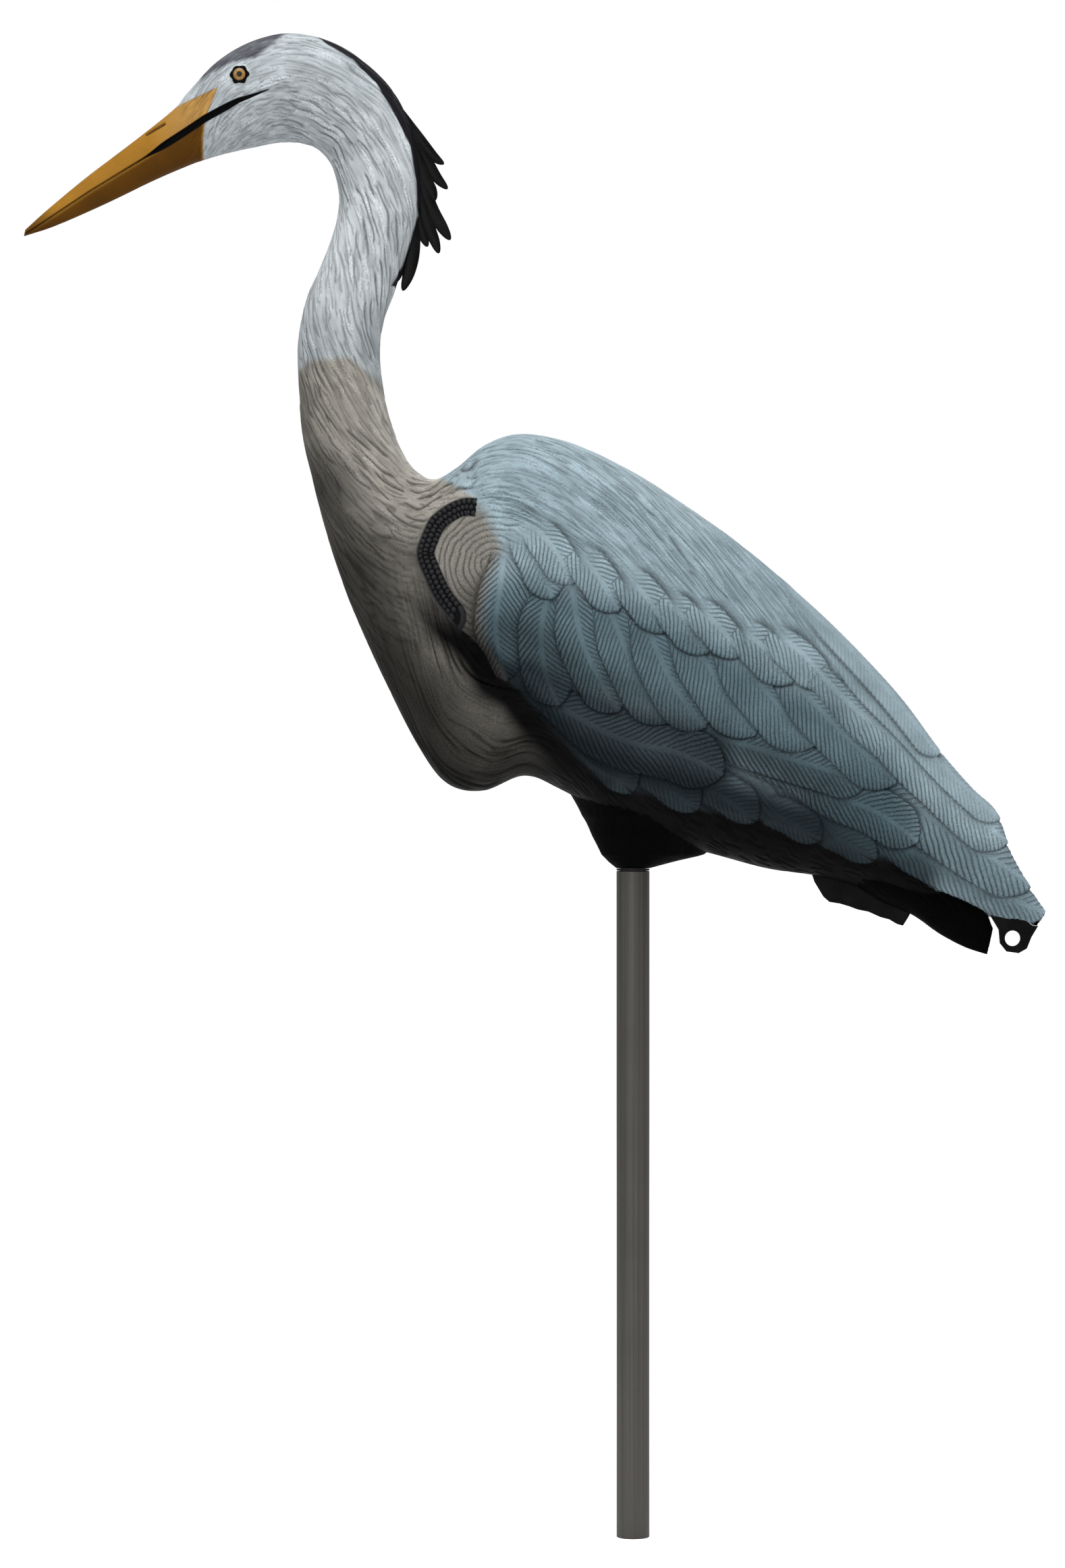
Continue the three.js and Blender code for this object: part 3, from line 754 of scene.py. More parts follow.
    def _breast(self, relief: Relief, skin: Skin) -> None:
        """Broad wavy ridges from the front of the neck down to the belly."""
        belly = skin.girth - skin.arc
        along = np.broadcast_to(skin.along, skin.x.shape)
        where = smooth(along + 0.3 * (100 - belly), 560, 660) * (1 - smooth(belly, 105, 150))
        where = where * (1 - smooth(skin.x, -80, -20))
        wander = 7 * noise(along / 45, belly / 30, 21)
        broad = groove(belly + wander + 0.25 * along, along, 6.4, 60, 22, 0.85)
        fine = groove(belly + wander + 0.25 * along, along, 3.0, 30, 33, 0.8)
        height = -0.2 - 1.2 * broad - 0.5 * fine
        # Pale paint on the ridges is partly painted highlight; dark paint in the grooves is partly painted
        # shade.
        dry = 1.2 * (1 - np.clip(broad + 0.8 * fine, 0, 1))
        own = Relief.bare(height, np.clip(broad + 0.5 * fine, 0, 1), dry)
        self._put(relief, own, where)

    def _under_wing(self, relief: Relief, skin: Skin) -> None:
        """Short soft feathering on the dark belly, under the wing's edge."""
        inside = distance_to_shape(skin.x, skin.z, WING_SHAPE)
        along = np.broadcast_to(skin.along, skin.x.shape)
        belly = skin.girth - skin.arc
        where = smooth(-inside, -2, 3) * smooth(skin.x, -60, -10)
        tufts = groove(belly + 0.5 * along, along, 5.0, 14, 31, 0.9)
        # Dark paint in the tufts' grooves, partly painted shade, and pale paint between them, partly painted
        # highlight.
        self._put(relief, Relief.bare(-0.3 - 0.9 * tufts, 0.8 * tufts, 0.3 * (1 - tufts)), where)

    def _shoulder(self, relief: Relief, skin: Skin) -> None:
        """The ear-shaped patch with its arcs, and the double row of beads round it."""
        inside, run = distance_to_line(skin.x, skin.z, self.SHOULDER)
        where = smooth(inside, *self.PATCH_FROM) * (1 - smooth(inside, *self.PATCH_TO))
        where = where * (skin.z < self.PATCH_TOP) * (1 - smooth(skin.x, -90, -82))
        reach = np.hypot(skin.x - self.EAR[0], skin.z - self.EAR[1])
        wave = reach / self.arc + 0.5 * noise(run / 18, inside / 8, 41)
        line = np.abs(2 * (wave - np.floor(wave)) - 1) ** 3
        # Dark paint in the arcs' grooves, partly painted shade, and pale paint between them, partly painted
        # highlight.
        self._put(relief, Relief.bare(-0.7 - 0.75 * line, 0.9 * line, 1 - line), where)
        row = np.floor(inside / self.bead)
        middle_in = (row + 0.5) * self.bead
        shift = 0.5 * np.mod(row, 2)
        middle_run = (np.floor(run / self.bead - shift) + 0.5 + shift) * self.bead
        off = np.hypot(inside - middle_in, run - middle_run) / (0.5 * self.bead)
        dome = np.sqrt(np.maximum(1 - np.minimum(off, 1) ** 2, 0))
        inner = self.BEAD_ROWS * self.bead
        band = smooth(inside, -0.6, 0.6) * (1 - smooth(inside, inner - 0.6, inner + 0.6))
        # Painted shade between the beads and a painted highlight on each dome.
        own = Relief.bare(-self.BEAD_DEPTH + 1.9 * dome, 1 - smooth(dome, 0.2, 0.9), 0.7 * dome)
        self._put(relief, own, band * (run > 0.5))

    def _bill(self, relief: Relief, skin: Skin) -> None:
        """The line between the bill's halves, the nostril, the ring round the eye and the bill's grain."""
        gap, run = distance_to_line(skin.x, skin.z, self.GAPE)
        depth = 0.5 + 0.9 * smooth(run, 60, 110)
        width = 0.9 + 1.2 * smooth(run, 90, 120) * (1 - smooth(run, 175, 193))
        line = 1 - smooth(np.abs(gap), 0.4 * width, width)
        relief.height -= depth * line
        # Painted shade in the gape's groove near the bill's tip.
        relief.wash_and_shade[:] = np.maximum(relief.wash_and_shade, line * (skin.x < -280))
        slit, _ = distance_to_line(skin.x, skin.z, self.NOSTRIL)
        cut = 1 - smooth(np.abs(slit), 0.4, 1.5)
        relief.height -= 1.3 * cut
        # Painted shade in the nostril's slit.
        relief.wash_and_shade[:] = np.maximum(relief.wash_and_shade, cut)
        ray = np.hypot(skin.x - self.EYE[0], skin.z - self.EYE[1])
        socket = 1 - smooth(ray, *self.SOCKET)
        ring = smooth(ray, *self.EYE_RING[:2]) * (1 - smooth(ray, *self.EYE_RING[2:]))
        deep = self.SOCKET_DEPTH
        relief.height[:] = relief.height * (1 - socket) - deep * socket + deep * ring * socket
        relief.wash_and_shade *= 1 - smooth(-ray, -8, -7)
        grain = noise(skin.arc / 1.1, np.broadcast_to(skin.along, skin.x.shape) / 16, 61)
        relief.height -= 0.1 * np.maximum(grain, 0) * (skin.along < 130)

    @staticmethod
    def _put(relief: Relief, own: Relief, share: Array) -> None:
        """Lays one relief over another in place."""
        for whole, part in zip(relief.parts(), relief.lay(own, share).parts()):
            whole[:] = part


# ---- paint ----


class Pot(Enum):
    """The paints, as shares of 255 of red, green and blue."""

    PALE = (208, 214, 218)
    CHEEK = (178, 186, 190)
    TAUPE = (158, 154, 146)
    BUFF = (190, 186, 178)
    UMBER = (42, 40, 37)
    SAND = (128, 125, 118)
    SKY = (172, 189, 197)
    MIST = (153, 173, 182)
    SLATE = (82, 103, 112)
    NIGHT = (26, 36, 41)
    SOOT = (40, 41, 44)
    BLACK = (5, 5, 6)
    OCHRE = (166, 118, 42)
    HONEY = (206, 162, 100)
    TAN = (84, 50, 8)
    CROWN = (60, 56, 68)
    NAPE = (30, 29, 34)

    def linear(self) -> Array:
        """The paint as linear light."""
        share = np.array(self.value, float) / 255
        return np.where(share <= 0.04045, share / 12.92, ((share + 0.055) / 1.055) ** 2.4)

    def rgba(self) -> tuple[float, float, float, float]:
        """The paint as a shader's colour."""
        red, green, blue = self.linear()
        return (float(red), float(green), float(blue), 1.0)


@dataclass(frozen=True)
class Spray:
    """A soft pass of the airbrush.

    Attributes:
        line: The corners of the pass in the side view.
        core: How far from the line the paint is at its thickest.
        reach: How far from the line it ends.
        pot: The paint.
        share: How much of what is under it the paint covers.
    """

    line: tuple[Point, ...]
    core: float
    reach: float
    pot: Pot
    share: float

    def cover(self, x: Array, z: Array) -> Array:
        """The share that the pass covers at points."""
        gap, _ = distance_to_line(x, z, self.line)
        return self.share * (1 - smooth(np.abs(gap), self.core, self.reach))


@dataclass(frozen=True)
class PaintJob:
    """Where each paint goes on the bird.

    Attributes:
        soft: Width of an airbrushed edge.
    """

    soft: float = 3.0

    # Nothing farther than this from the bill's tip is bill.
    BILL_END = 190
    # Along the gape: where the mouth's black line starts, swells and thins, and its half widths.
    MOUTH_FROM, MOUTH_SWELLS, MOUTH_THINS, MOUTH_WIDE, MOUTH_THIN = 86, (88, 112), (150, 196), 2.3, 0.2
    # The black rim round the eye: its radius and how far its six lobes stand out.
    EYE_RIM, EYE_LOBES, LOBES = 6.3, 0.5, 6
    # How far outside a mark a point counts that the mark can't reach.
    OFF_MOUTH, NEVER = -5.0, -9.0
    COLLAR = (
        (-245, 322), (-223, 332), (-215, 336), (-207, 337.6), (-191, 338), (-184, 336), (-176, 328),
        (-150, 312),
    )
    PLUMAGE_SHAPE = ((-130, 600), (-134, 262), (-106, 243.6)) + WING_EDGE[1:] + ((330, -35), (330, 600))
    PATCH_SHAPE = (
        (-150, 252), (-108, 244), (-98, 232), (-88, 211), (-97, 190), (-102, 166), (-100, 145),
        (-88, 124), (-160, 124),
    )
    BILL_SHAPE = (
        (-430, 480), (-306, 506), (-275.5, 518), (-280, 507), (-284, 497), (-285.5, 485), (-286, 470),
        (-290, 430), (-430, 400),
    )
    CROWN_LINE = ((-291, 522), (-277, 530.5), (-265, 535), (-251, 537.5), (-244, 543), (-226, 560))
    NAPE_LINE = (
        (-216, 560), (-203, 547), (-186, 537.5), (-171, 522), (-158.5, 501), (-148, 480), (-144, 458),
        (-143, 435), (-147, 420), (-153, 402), (-161, 386),
    )
    # The breast darkens towards its lower end: partly its own dark paint, partly painted shade on the
    # downward-facing breast.
    FRONT = (
        Spray(((-225, 312), (-218, 280), (-212, 256)), 2, 24, Pot.UMBER, 0.4),
        Spray(((-210, 246), (-196, 200), (-182, 165), (-165, 130), (-150, 100)), 8, 46, Pot.UMBER, 0.8),
        Spray(((-160, 180), (-140, 120), (-110, 80), (-60, 62)), 28, 66, Pot.UMBER, 0.58),
        Spray(((-175, 130), (-140, 80), (-105, 50), (-72, 58)), 10, 44, Pot.UMBER, 0.85),
        Spray(((-125, 112), (-98, 86), (-60, 68)), 8, 34, Pot.UMBER, 0.5),
        Spray(((-160, 84), (-128, 58), (-105, 46), (-72, 56), (-30, 56)), 5, 24, Pot.BLACK, 0.75),
    )
    # A pale pass along the top of the back, partly painted light from above; darker passes over the wing's
    # lower rows, partly painted shade; and a dark pass along the wing's front lower edge, a painted shadow.
    BACK = (
        Spray(((-112, 268), (-90, 290), (-55, 292), (-15, 276), (40, 244)), 8, 36, Pot.SKY, 0.6),
        Spray(((-80, 160), (-50, 150), (0, 138), (60, 110), (110, 82), (150, 50)), 18, 44, Pot.SLATE, 0.85),
        Spray(((-80, 140), (-45, 112), (0, 88), (50, 68), (110, 46), (160, 26)), 14, 42, Pot.NIGHT, 0.6),
        Spray(((-72, 116), (-43, 100), (0, 82), (44, 70)), 14, 28, Pot.NIGHT, 0.75),
        Spray(((-90, 105), (-50, 74), (0, 52), (60, 36), (130, 14), (180, -6)), 12, 32, Pot.NIGHT, 0.95),
        Spray(((150, 40), (200, 12), (250, -22)), 8, 34, Pot.SLATE, 0.55),
        Spray(((-60, 186), (-20, 176), (30, 156), (90, 132), (130, 114)), 6, 28, Pot.SLATE, 0.32),
        Spray(((-112, 155), (-98, 140), (-76, 117), (-46, 83), (-20, 60)), 3, 12, Pot.NIGHT, 0.95),
    )

    def coat(self, skin: Skin, relief: Relief) -> Array:
        """The colour at each point of a skin.

        Args:
            skin: The bare surface.
            relief: What is carved into it.

        Returns:
            Linear red, green and blue.
        """
        coat = np.broadcast_to(Pot.PALE.linear(), (*skin.x.shape, 3)).copy()
        wing = distance_to_shape(skin.x, skin.z, WING_SHAPE)
        self._neck(coat, skin)
        self._underside(coat, skin, wing)
        self._plumage(coat, skin, relief, wing)
        self._shoulder(coat, skin, wing)
        self._bill(coat, skin)
        return coat

    def _neck(self, coat: Array, skin: Skin) -> None:
        """The pale head and neck, and the grey-brown front below the collar, darker lower down, partly with
        painted shade.
        """
        x, z = skin.x, skin.z
        self._blend(coat, Pot.CHEEK, 0.8 * (1 - smooth(skin.along, 230, 330)) * np.ones(x.shape))
        collar, _ = distance_to_line(x, z, self.COLLAR)
        ragged = 2.0 * noise(skin.arc / 3, np.broadcast_to(skin.along, x.shape) / 9, 71)
        self._blend(coat, Pot.CHEEK, 0.85 * (1 - smooth(collar, 5, 60)))
        self._blend(coat, Pot.TAUPE, smooth(-collar + ragged, -self.soft, self.soft))
        self._blend(coat, Pot.BUFF, smooth(-collar, 0, 9) * (1 - smooth(skin.arc, 14, 34)))
        for spray in self.FRONT:
            self._blend(coat, spray.pot, spray.cover(x, z) * (collar < 8))

    def _underside(self, coat: Array, skin: Skin, wing: Array) -> None:
        """The shadow under the wing's edge and the black belly."""
        x, z = skin.x, skin.z
        dark = (1 - smooth(-wing, 10, 24)) * smooth(-z, -196, -150) * (wing < 4)
        self._blend(coat, Pot.BLACK, dark)
        belly = smooth(x + 0.3 * (60 - z), -66, -32) * (wing < 4) * (skin.along > Plumage.BODY_AT[0])
        self._blend(coat, Pot.BLACK, belly)

    def _plumage(self, coat: Array, skin: Skin, relief: Relief, wing: Array) -> None:
        """The blue-grey back and wing, paler along the top and darker lower down, partly with painted light
        and shade, and the feathers' tips that reach past the wing's edge.
        """
        x, z = skin.x, skin.z
        inside = distance_to_shape(x, z, self.PLUMAGE_SHAPE)
        plumage = np.broadcast_to(Pot.MIST.linear(), coat.shape).copy()
        for spray in self.BACK:
            self._blend(plumage, spray.pot, spray.cover(x, z))
        tips = smooth(relief.barbs, 0.05, 0.3) * smooth(x, -50, -30) * smooth(wing, -16, -12)
        rise = np.maximum(smooth(inside, -0.5 * self.soft, self.soft), tips)[..., None]
        coat[:] = coat * (1 - rise) + plumage * rise

    def _shoulder(self, coat: Array, skin: Skin, wing: Array) -> None:
        """The sandy patch at the shoulder, with painted shade darkening its lower end under the wing's edge,
        and its band of beads.
        """
        x, z = skin.x, skin.z
        here = smooth(distance_to_shape(x, z, self.PATCH_SHAPE), -7, 5) * smooth(wing, -1, 1)
        self._blend(coat, Pot.SAND, here)
        # Painted shade: the patch darkens and goes black towards its lower end, under the wing's edge.
        self._blend(coat, Pot.UMBER, 0.6 * here * (1 - smooth(z, 160, 200)))
        self._blend(coat, Pot.BLACK, 0.9 * np.sqrt(here) * (1 - smooth(z, 138, 168)))
        ring, run = distance_to_line(x, z, Plumage.SHOULDER)
        half = Plumage.BEAD_ROWS * Plumage.bead / 2
        self._blend(coat, Pot.SOOT, 0.97 * smooth(half - np.abs(ring - half), -1.2, 0.2) * (run > 0.4))

    def _bill(self, coat: Array, skin: Skin) -> None:
        """The bill, light at its base, brown on its lower half and dark at its tip."""
        x, z = skin.x, skin.z
        near = skin.along < self.BILL_END
        bill = distance_to_shape(x, z, self.BILL_SHAPE)
        self._blend(coat, Pot.OCHRE, smooth(bill, -0.5, 0.5) * near)
        gape, _ = distance_to_line(x, z, Plumage.GAPE)
        self._blend(coat, Pot.HONEY, 0.6 * smooth(gape, 0, 4) * smooth(bill, 0, 1) * smooth(x, -325, -288))
        self._blend(coat, Pot.TAN, 0.9 * smooth(-gape, -1, 3) * smooth(bill, 0, 2) * near)
        self._blend(coat, Pot.TAN, 0.8 * smooth(bill, 0, 1) * (1 - smooth(skin.along, 4, 30)))

    def lines(self, skin: Skin) -> dict[str, Array]:
        """Distances in millimetres to the crisp painted edges, positive on the painted side.

        Args:
            skin: The bare surface.

        Returns:
            A distance for each mark.
        """
        x, z = skin.x, skin.z
        gape, run = distance_to_line(x, z, Plumage.GAPE)
        thick = self.MOUTH_WIDE * smooth(run, *self.MOUTH_SWELLS) * (1 - smooth(run, *self.MOUTH_THINS))
        thick = thick + self.MOUTH_THIN
        mouth = np.where(run > self.MOUTH_FROM, thick - np.abs(gape), self.OFF_MOUTH)
        ray = np.hypot(x - Plumage.EYE[0], z - Plumage.EYE[1])
        turn = np.arctan2(z - Plumage.EYE[1], x - Plumage.EYE[0])
        eye = self.EYE_RIM + self.EYE_LOBES * np.cos(self.LOBES * turn) - ray
        crown, _ = distance_to_line(x, z, self.CROWN_LINE)
        nape, _ = distance_to_line(x, z, self.NAPE_LINE)
        bound = (x > -300) & (skin.along < 420)
        tint = np.where(bound & (x < -212), np.minimum(crown, x + 288), self.NEVER)
        black = np.where(bound & (x > -214) & (z > 380), np.minimum(nape, z - 387), self.NEVER)
        return {"mouth": np.maximum(mouth, eye), "crown": tint, "nape": black}

    @staticmethod
    def _blend(coat: Array, pot: Pot, share: Array) -> None:
        """Paints over a coat by a share at each point."""
        coat += (pot.linear() - coat) * np.clip(share, 0, 1)[..., None]


# ---- finishes ----


class Nodes:
    """A material's node tree, with short ways to add to it."""

    def __init__(self, name: str) -> None:
        """Makes a material with a bare surface shader."""
        self.material = bpy.data.materials.new(name)
        self.material.use_nodes = True
        self.tree = self.material.node_tree
        self.shader = self.tree.nodes["Principled BSDF"]

    def add(self, kind: str, **values: object) -> bpy.types.Node:
        """Adds a node.

        Args:
            kind: The node's type.
            values: Its settings, and its inputs by name with underscores for spaces.

        Returns:
            The node.
        """
        node = self.tree.nodes.new(kind)
        for key, value in values.items():
            if hasattr(node, key):
                setattr(node, key, value)
                continue
            self.put(node, key, value)
        return node

    def put(self, node: bpy.types.Node, key: str, value: object) -> None:
        """Sets or links one input of a node, named with underscores or as a number after an n."""
        numbered = key[0] == "n" and key[1:].isdigit()
        socket = node.inputs[int(key[1:]) if numbered else key.replace("_", " ")]
        if isinstance(value, bpy.types.NodeSocket):
            self.tree.links.new(value, socket)
        else:
            socket.default_value = value

    def attribute(self, name: str, output: str = "Fac") -> bpy.types.NodeSocket:
        """A value that the mesh carries at its points."""
        return self.add("ShaderNodeAttribute", attribute_name=name).outputs[output]

    def place(self, stretch: tuple[float, float, float] = (1, 1, 1)) -> bpy.types.NodeSocket:
        """Object coordinates, stretched along each axis."""
        spot = self.add("ShaderNodeTexCoord").outputs["Object"]
        return self.add("ShaderNodeMapping", Vector=spot, Scale=stretch).outputs[0]

    def speckle(self, spot: bpy.types.NodeSocket, scale: float, detail: float = 2.0) -> bpy.types.NodeSocket:
        """Soft noise at so many cells a metre."""
        return self.add("ShaderNodeTexNoise", Vector=spot, Scale=scale, Detail=detail).outputs["Fac"]

    def ramp(self, value: bpy.types.NodeSocket, *ends: float) -> bpy.types.NodeSocket:
        """A value eased from (low, high) to (new low, new high)."""
        keys = ("n1", "n2", "n3", "n4")
        return self.add("ShaderNodeMapRange", n0=value, **dict(zip(keys, ends))).outputs[0]

    def worked(self, operation: str, first: object, second: object, **more: object) -> bpy.types.NodeSocket:
        """Two values put through an operation."""
        return self.add("ShaderNodeMath", operation=operation, n0=first, n1=second, **more).outputs[0]

    def product(self, first: object, second: object) -> bpy.types.NodeSocket:
        """Two values multiplied."""
        return self.worked("MULTIPLY", first, second)

    def scaled(self, colour: bpy.types.NodeSocket, share: object) -> bpy.types.NodeSocket:
        """A colour made lighter or darker by a share."""
        return self.add("ShaderNodeVectorMath", operation="SCALE", n0=colour, Scale=share).outputs[0]

    def mix(self, share: object, under: object, over: object) -> bpy.types.NodeSocket:
        """One colour laid over another by a share."""
        node = self.add("ShaderNodeMix", data_type="RGBA")
        self.put(node, "n0", share)
        self.put(node, "n6", under)
        self.put(node, "n7", over)
        return node.outputs[2]

    def bump(self, height: bpy.types.NodeSocket, depth: float, strength: float = 1.0) -> None:
        """Roughens the surface by a height, so deep in metres."""
        node = self.add("ShaderNodeBump", Height=height, Distance=depth, Strength=strength)
        self.put(self.shader, "Normal", node.outputs[0])

    def finish(self, **values: object) -> bpy.types.Material:
        """Sets the shader's inputs and hands over the material."""
        for key, value in values.items():
            self.put(self.shader, key, value)
        return self.material


@dataclass(frozen=True)
class PaintedShell:
    """Moulded plastic with an airbrushed coat, dark paint in its hollows that is partly painted shade, and
    pale paint on its ridges that is partly painted highlight.

    Attributes:
        hollow: How dark the paint makes a hollow, painted shade included.
        ridge: How much the pale paint, a painted highlight in part, lightens a ridge.
        rough: The paint's roughness, from the smoother places to the rougher ones.
        wiped: The dark hollow paint with its painted shade, as a share of the coat.
        brushed_highlight: The pale ridge paint with its painted highlights, as a share of the coat.
        notch: How narrow the line between two barbs is.
    """

    hollow: float = 0.92
    ridge: float = 0.30
    rough: tuple[float, float] = (0.46, 0.64)
    wiped: float = 0.1
    brushed_highlight: float = 1.7
    notch: float = 2.1

    def make(self) -> bpy.types.Material:
        """The material."""
        nodes = Nodes("painted_shell")
        spot = nodes.place()
        mottle = nodes.speckle(spot, 55, 4)
        fine = nodes.speckle(spot, 900, 3)
        tooth = nodes.worked("PINGPONG", nodes.attribute("phase"), 0.5)
        notch = nodes.worked("POWER", nodes.product(tooth, 2.0), self.notch)
        barb = nodes.product(notch, nodes.attribute("barbs"))
        colour = self._marked(nodes, self._coated(nodes, mottle, fine, notch, barb), mottle)
        height = nodes.worked("SUBTRACT", nodes.product(fine, 0.3), nodes.product(barb, 0.9))
        nodes.bump(height, 0.35 * MM, 0.7)
        rough = nodes.ramp(mottle, 0.3, 0.7, *self.rough)
        return nodes.finish(Base_Color=colour, Roughness=rough, Specular_IOR_Level=0.06)

    def _coated(self, nodes: Nodes, mottle: object, fine: object, notch: object, barb: object) -> object:
        """The coat with dark paint and painted shade in its hollows, and pale paint and painted highlights on
        its ridges.

        Args:
            nodes: The material's nodes.
            mottle: Broad soft noise.
            fine: Fine noise.
            notch: How near a point is to the line between two barbs.
            barb: The same, where there are barbs.

        Returns:
            The colour.
        """
        coat = nodes.attribute("coat", "Color")
        tinted = nodes.scaled(coat, nodes.ramp(mottle, 0.3, 0.7, 0.86, 1.12))
        # Dark paint in the hollows and between the barbs, partly painted shade.
        wash_and_shade = nodes.worked("MAXIMUM", nodes.attribute("wash_and_shade"), barb)
        wiped = nodes.product(wash_and_shade, nodes.ramp(fine, 0.3, 0.75, self.hollow, self.hollow * 0.75))
        dark = nodes.mix(wiped, tinted, nodes.scaled(coat, self.wiped))
        # Painted highlight along the top of each barb's ridge, and pale paint, partly painted highlight, on
        # the ridges.
        barb_highlight = nodes.product(nodes.ramp(notch, 0.5, 0.0, 0, 0.75), nodes.attribute("barbs"))
        pale = nodes.worked("ADD", nodes.attribute("dry"), barb_highlight, use_clamp=True)
        brushed_highlight = nodes.product(pale, nodes.ramp(fine, 0.40, 0.68, 0.0, 2 * self.ridge))
        return nodes.mix(brushed_highlight, dark, nodes.scaled(tinted, self.brushed_highlight))

    def _marked(self, nodes: Nodes, colour: object, mottle: object) -> object:
        """The coat with the crown, the nape, the mouth and the eye's rim painted over it."""
        worn = nodes.ramp(mottle, 0.3, 0.7, 0.95, 0.7)
        crown = nodes.product(nodes.ramp(nodes.attribute("crown"), -1.2, 1.6, 0, 1), worn)
        colour = nodes.mix(crown, colour, Pot.CROWN.rgba())
        nape = nodes.ramp(nodes.attribute("nape"), -0.4, 0.6, 0, 1)
        colour = nodes.mix(nape, colour, Pot.NAPE.rgba())
        mouth = nodes.ramp(nodes.attribute("mouth"), -0.25, 0.25, 0, 1)
        return nodes.mix(mouth, colour, Pot.BLACK.rgba())


@dataclass(frozen=True)
class Moulded:
    """Plain moulded plastic with a fine grain.

    Attributes:
        name: The material's name.
        pot: Its colour where it is cleanest.
        worn: Its colour where it is scuffed.
        rough: Its roughness, from the shiniest places to the dullest.
    """

    name: str
    pot: Pot
    worn: Pot
    rough: tuple[float, float] = (0.28, 0.5)

    def make(self) -> bpy.types.Material:
        """The material."""
        nodes = Nodes(self.name)
        spot = nodes.place()
        cloud = nodes.speckle(spot, 70, 4)
        grain = nodes.speckle(spot, 1400, 2)
        colour = nodes.mix(nodes.ramp(cloud, 0.45, 0.8, 0, 0.3), self.pot.rgba(), self.worn.rgba())
        nodes.bump(grain, 0.08 * MM, 0.4)
        rough = nodes.ramp(cloud, 0.3, 0.7, *self.rough)
        return nodes.finish(Base_Color=colour, Roughness=rough, Specular_IOR_Level=0.14)


@dataclass(frozen=True)
class Metal:
    """Drawn metal with faint lines along it.

    Attributes:
        name: The material's name.
        bright: Its lighter colour.
        dull: Its darker colour.
        rough: Its roughness, from the polished places to the dull ones.
        stretch: How the lines run, as cells per metre along each axis.
    """

    name: str
    bright: tuple[float, float, float, float]
    dull: tuple[float, float, float, float]
    rough: tuple[float, float]
    stretch: tuple[float, float, float]

    def make(self) -> bpy.types.Material:
        """The material."""
        nodes = Nodes(self.name)
        lines = nodes.speckle(nodes.place(self.stretch), 1.0, 5)
        stain = nodes.speckle(nodes.place(), 18, 3)
        colour = nodes.mix(nodes.ramp(lines, 0.3, 0.7, 0, 1), self.dull, self.bright)
        colour = nodes.mix(nodes.ramp(stain, 0.5, 0.75, 0, 0.5), colour, self.dull)
        nodes.bump(lines, 0.04 * MM, 0.35)
        rough = nodes.ramp(lines, 0.3, 0.7, *self.rough)
        return nodes.finish(Base_Color=colour, Roughness=rough, Metallic=0.9)


@dataclass(frozen=True)
class GlassEye:
    """A glossy amber eye with a round pupil.

    Attributes:
        iris: The iris's radius in metres.
        pupil: The pupil's radius in metres.
    """

    iris: float = 4.4 * MM
    pupil: float = 1.7 * MM

    def make(self) -> bpy.types.Material:
        """The material."""
        nodes = Nodes("eye")
        ray = nodes.attribute("ray")
        flecks = nodes.speckle(nodes.place(), 1500, 3)
        iris = nodes.mix(nodes.ramp(flecks, 0.3, 0.7, 0, 1), (0.26, 0.12, 0.025, 1), (0.5, 0.3, 0.1, 1))
        rim = nodes.ramp(ray, self.iris * 0.78, self.iris * 0.95, 0, 0.85)
        iris = nodes.mix(rim, iris, Pot.BLACK.rgba())
        colour = nodes.mix(nodes.ramp(ray, self.pupil, self.pupil * 1.12, 1, 0), iris, Pot.BLACK.rgba())
        rough = nodes.ramp(flecks, 0.3, 0.7, 0.16, 0.24)
        return nodes.finish(Base_Color=colour, Roughness=rough, Specular_IOR_Level=0.3)


# ---- meshes ----


def spots_of(mesh: bpy.types.Mesh) -> Array:
    """The places of a mesh's vertices, one row for each."""
    spots = np.empty(len(mesh.vertices) * 3)
    mesh.vertices.foreach_get("co", spots)
    return spots.reshape(-1, 3)


def add_layer(mesh: bpy.types.Mesh, name: str, values: Array) -> None:
    """Stores a number at each vertex of a mesh, or a colour where the values have rows of four."""
    kind, key = ("FLOAT", "value") if values.ndim == 1 else ("FLOAT_COLOR", "color")
    layer = mesh.attributes.new(name, kind, "POINT")
    layer.data.foreach_set(key, values.astype(np.float32).ravel())


def grid_mesh(place: Array) -> bmesh.types.BMesh:
    """A sheet of quads through points.

    Args:
        place: Points in rows and columns, in metres.

    Returns:
        A bmesh whose vertices run along each row in turn.
    """
    rows, columns = place.shape[:2]
    bm = bmesh.new()
    bmesh.ops.create_grid(bm, x_segments=columns - 1, y_segments=rows - 1, size=1)
    flat = bpy.data.meshes.new("sheet")
    bm.to_mesh(flat)
    bm.free()
    spots = spots_of(flat)
    column = np.rint((spots[:, 0] + 1) / 2 * (columns - 1)).astype(int)
    row = np.rint((spots[:, 1] + 1) / 2 * (rows - 1)).astype(int)
    flat.vertices.foreach_set("co", place[row, column].ravel())
    bm = bmesh.new()
    bm.from_mesh(flat)
    bpy.data.meshes.remove(flat)
    bm.verts.ensure_lookup_table()
    return bm


def edges_through(bm: bmesh.types.BMesh, numbers: list[int]) -> list[bmesh.types.BMEdge]:
    """The edges along a closed loop of vertices, made where they are missing."""
    loop = [bm.verts[i] for i in numbers]
    pairs = zip(loop, loop[1:] + loop[:1])
    return [bm.edges.get(pair) or bm.edges.new(pair) for pair in pairs]


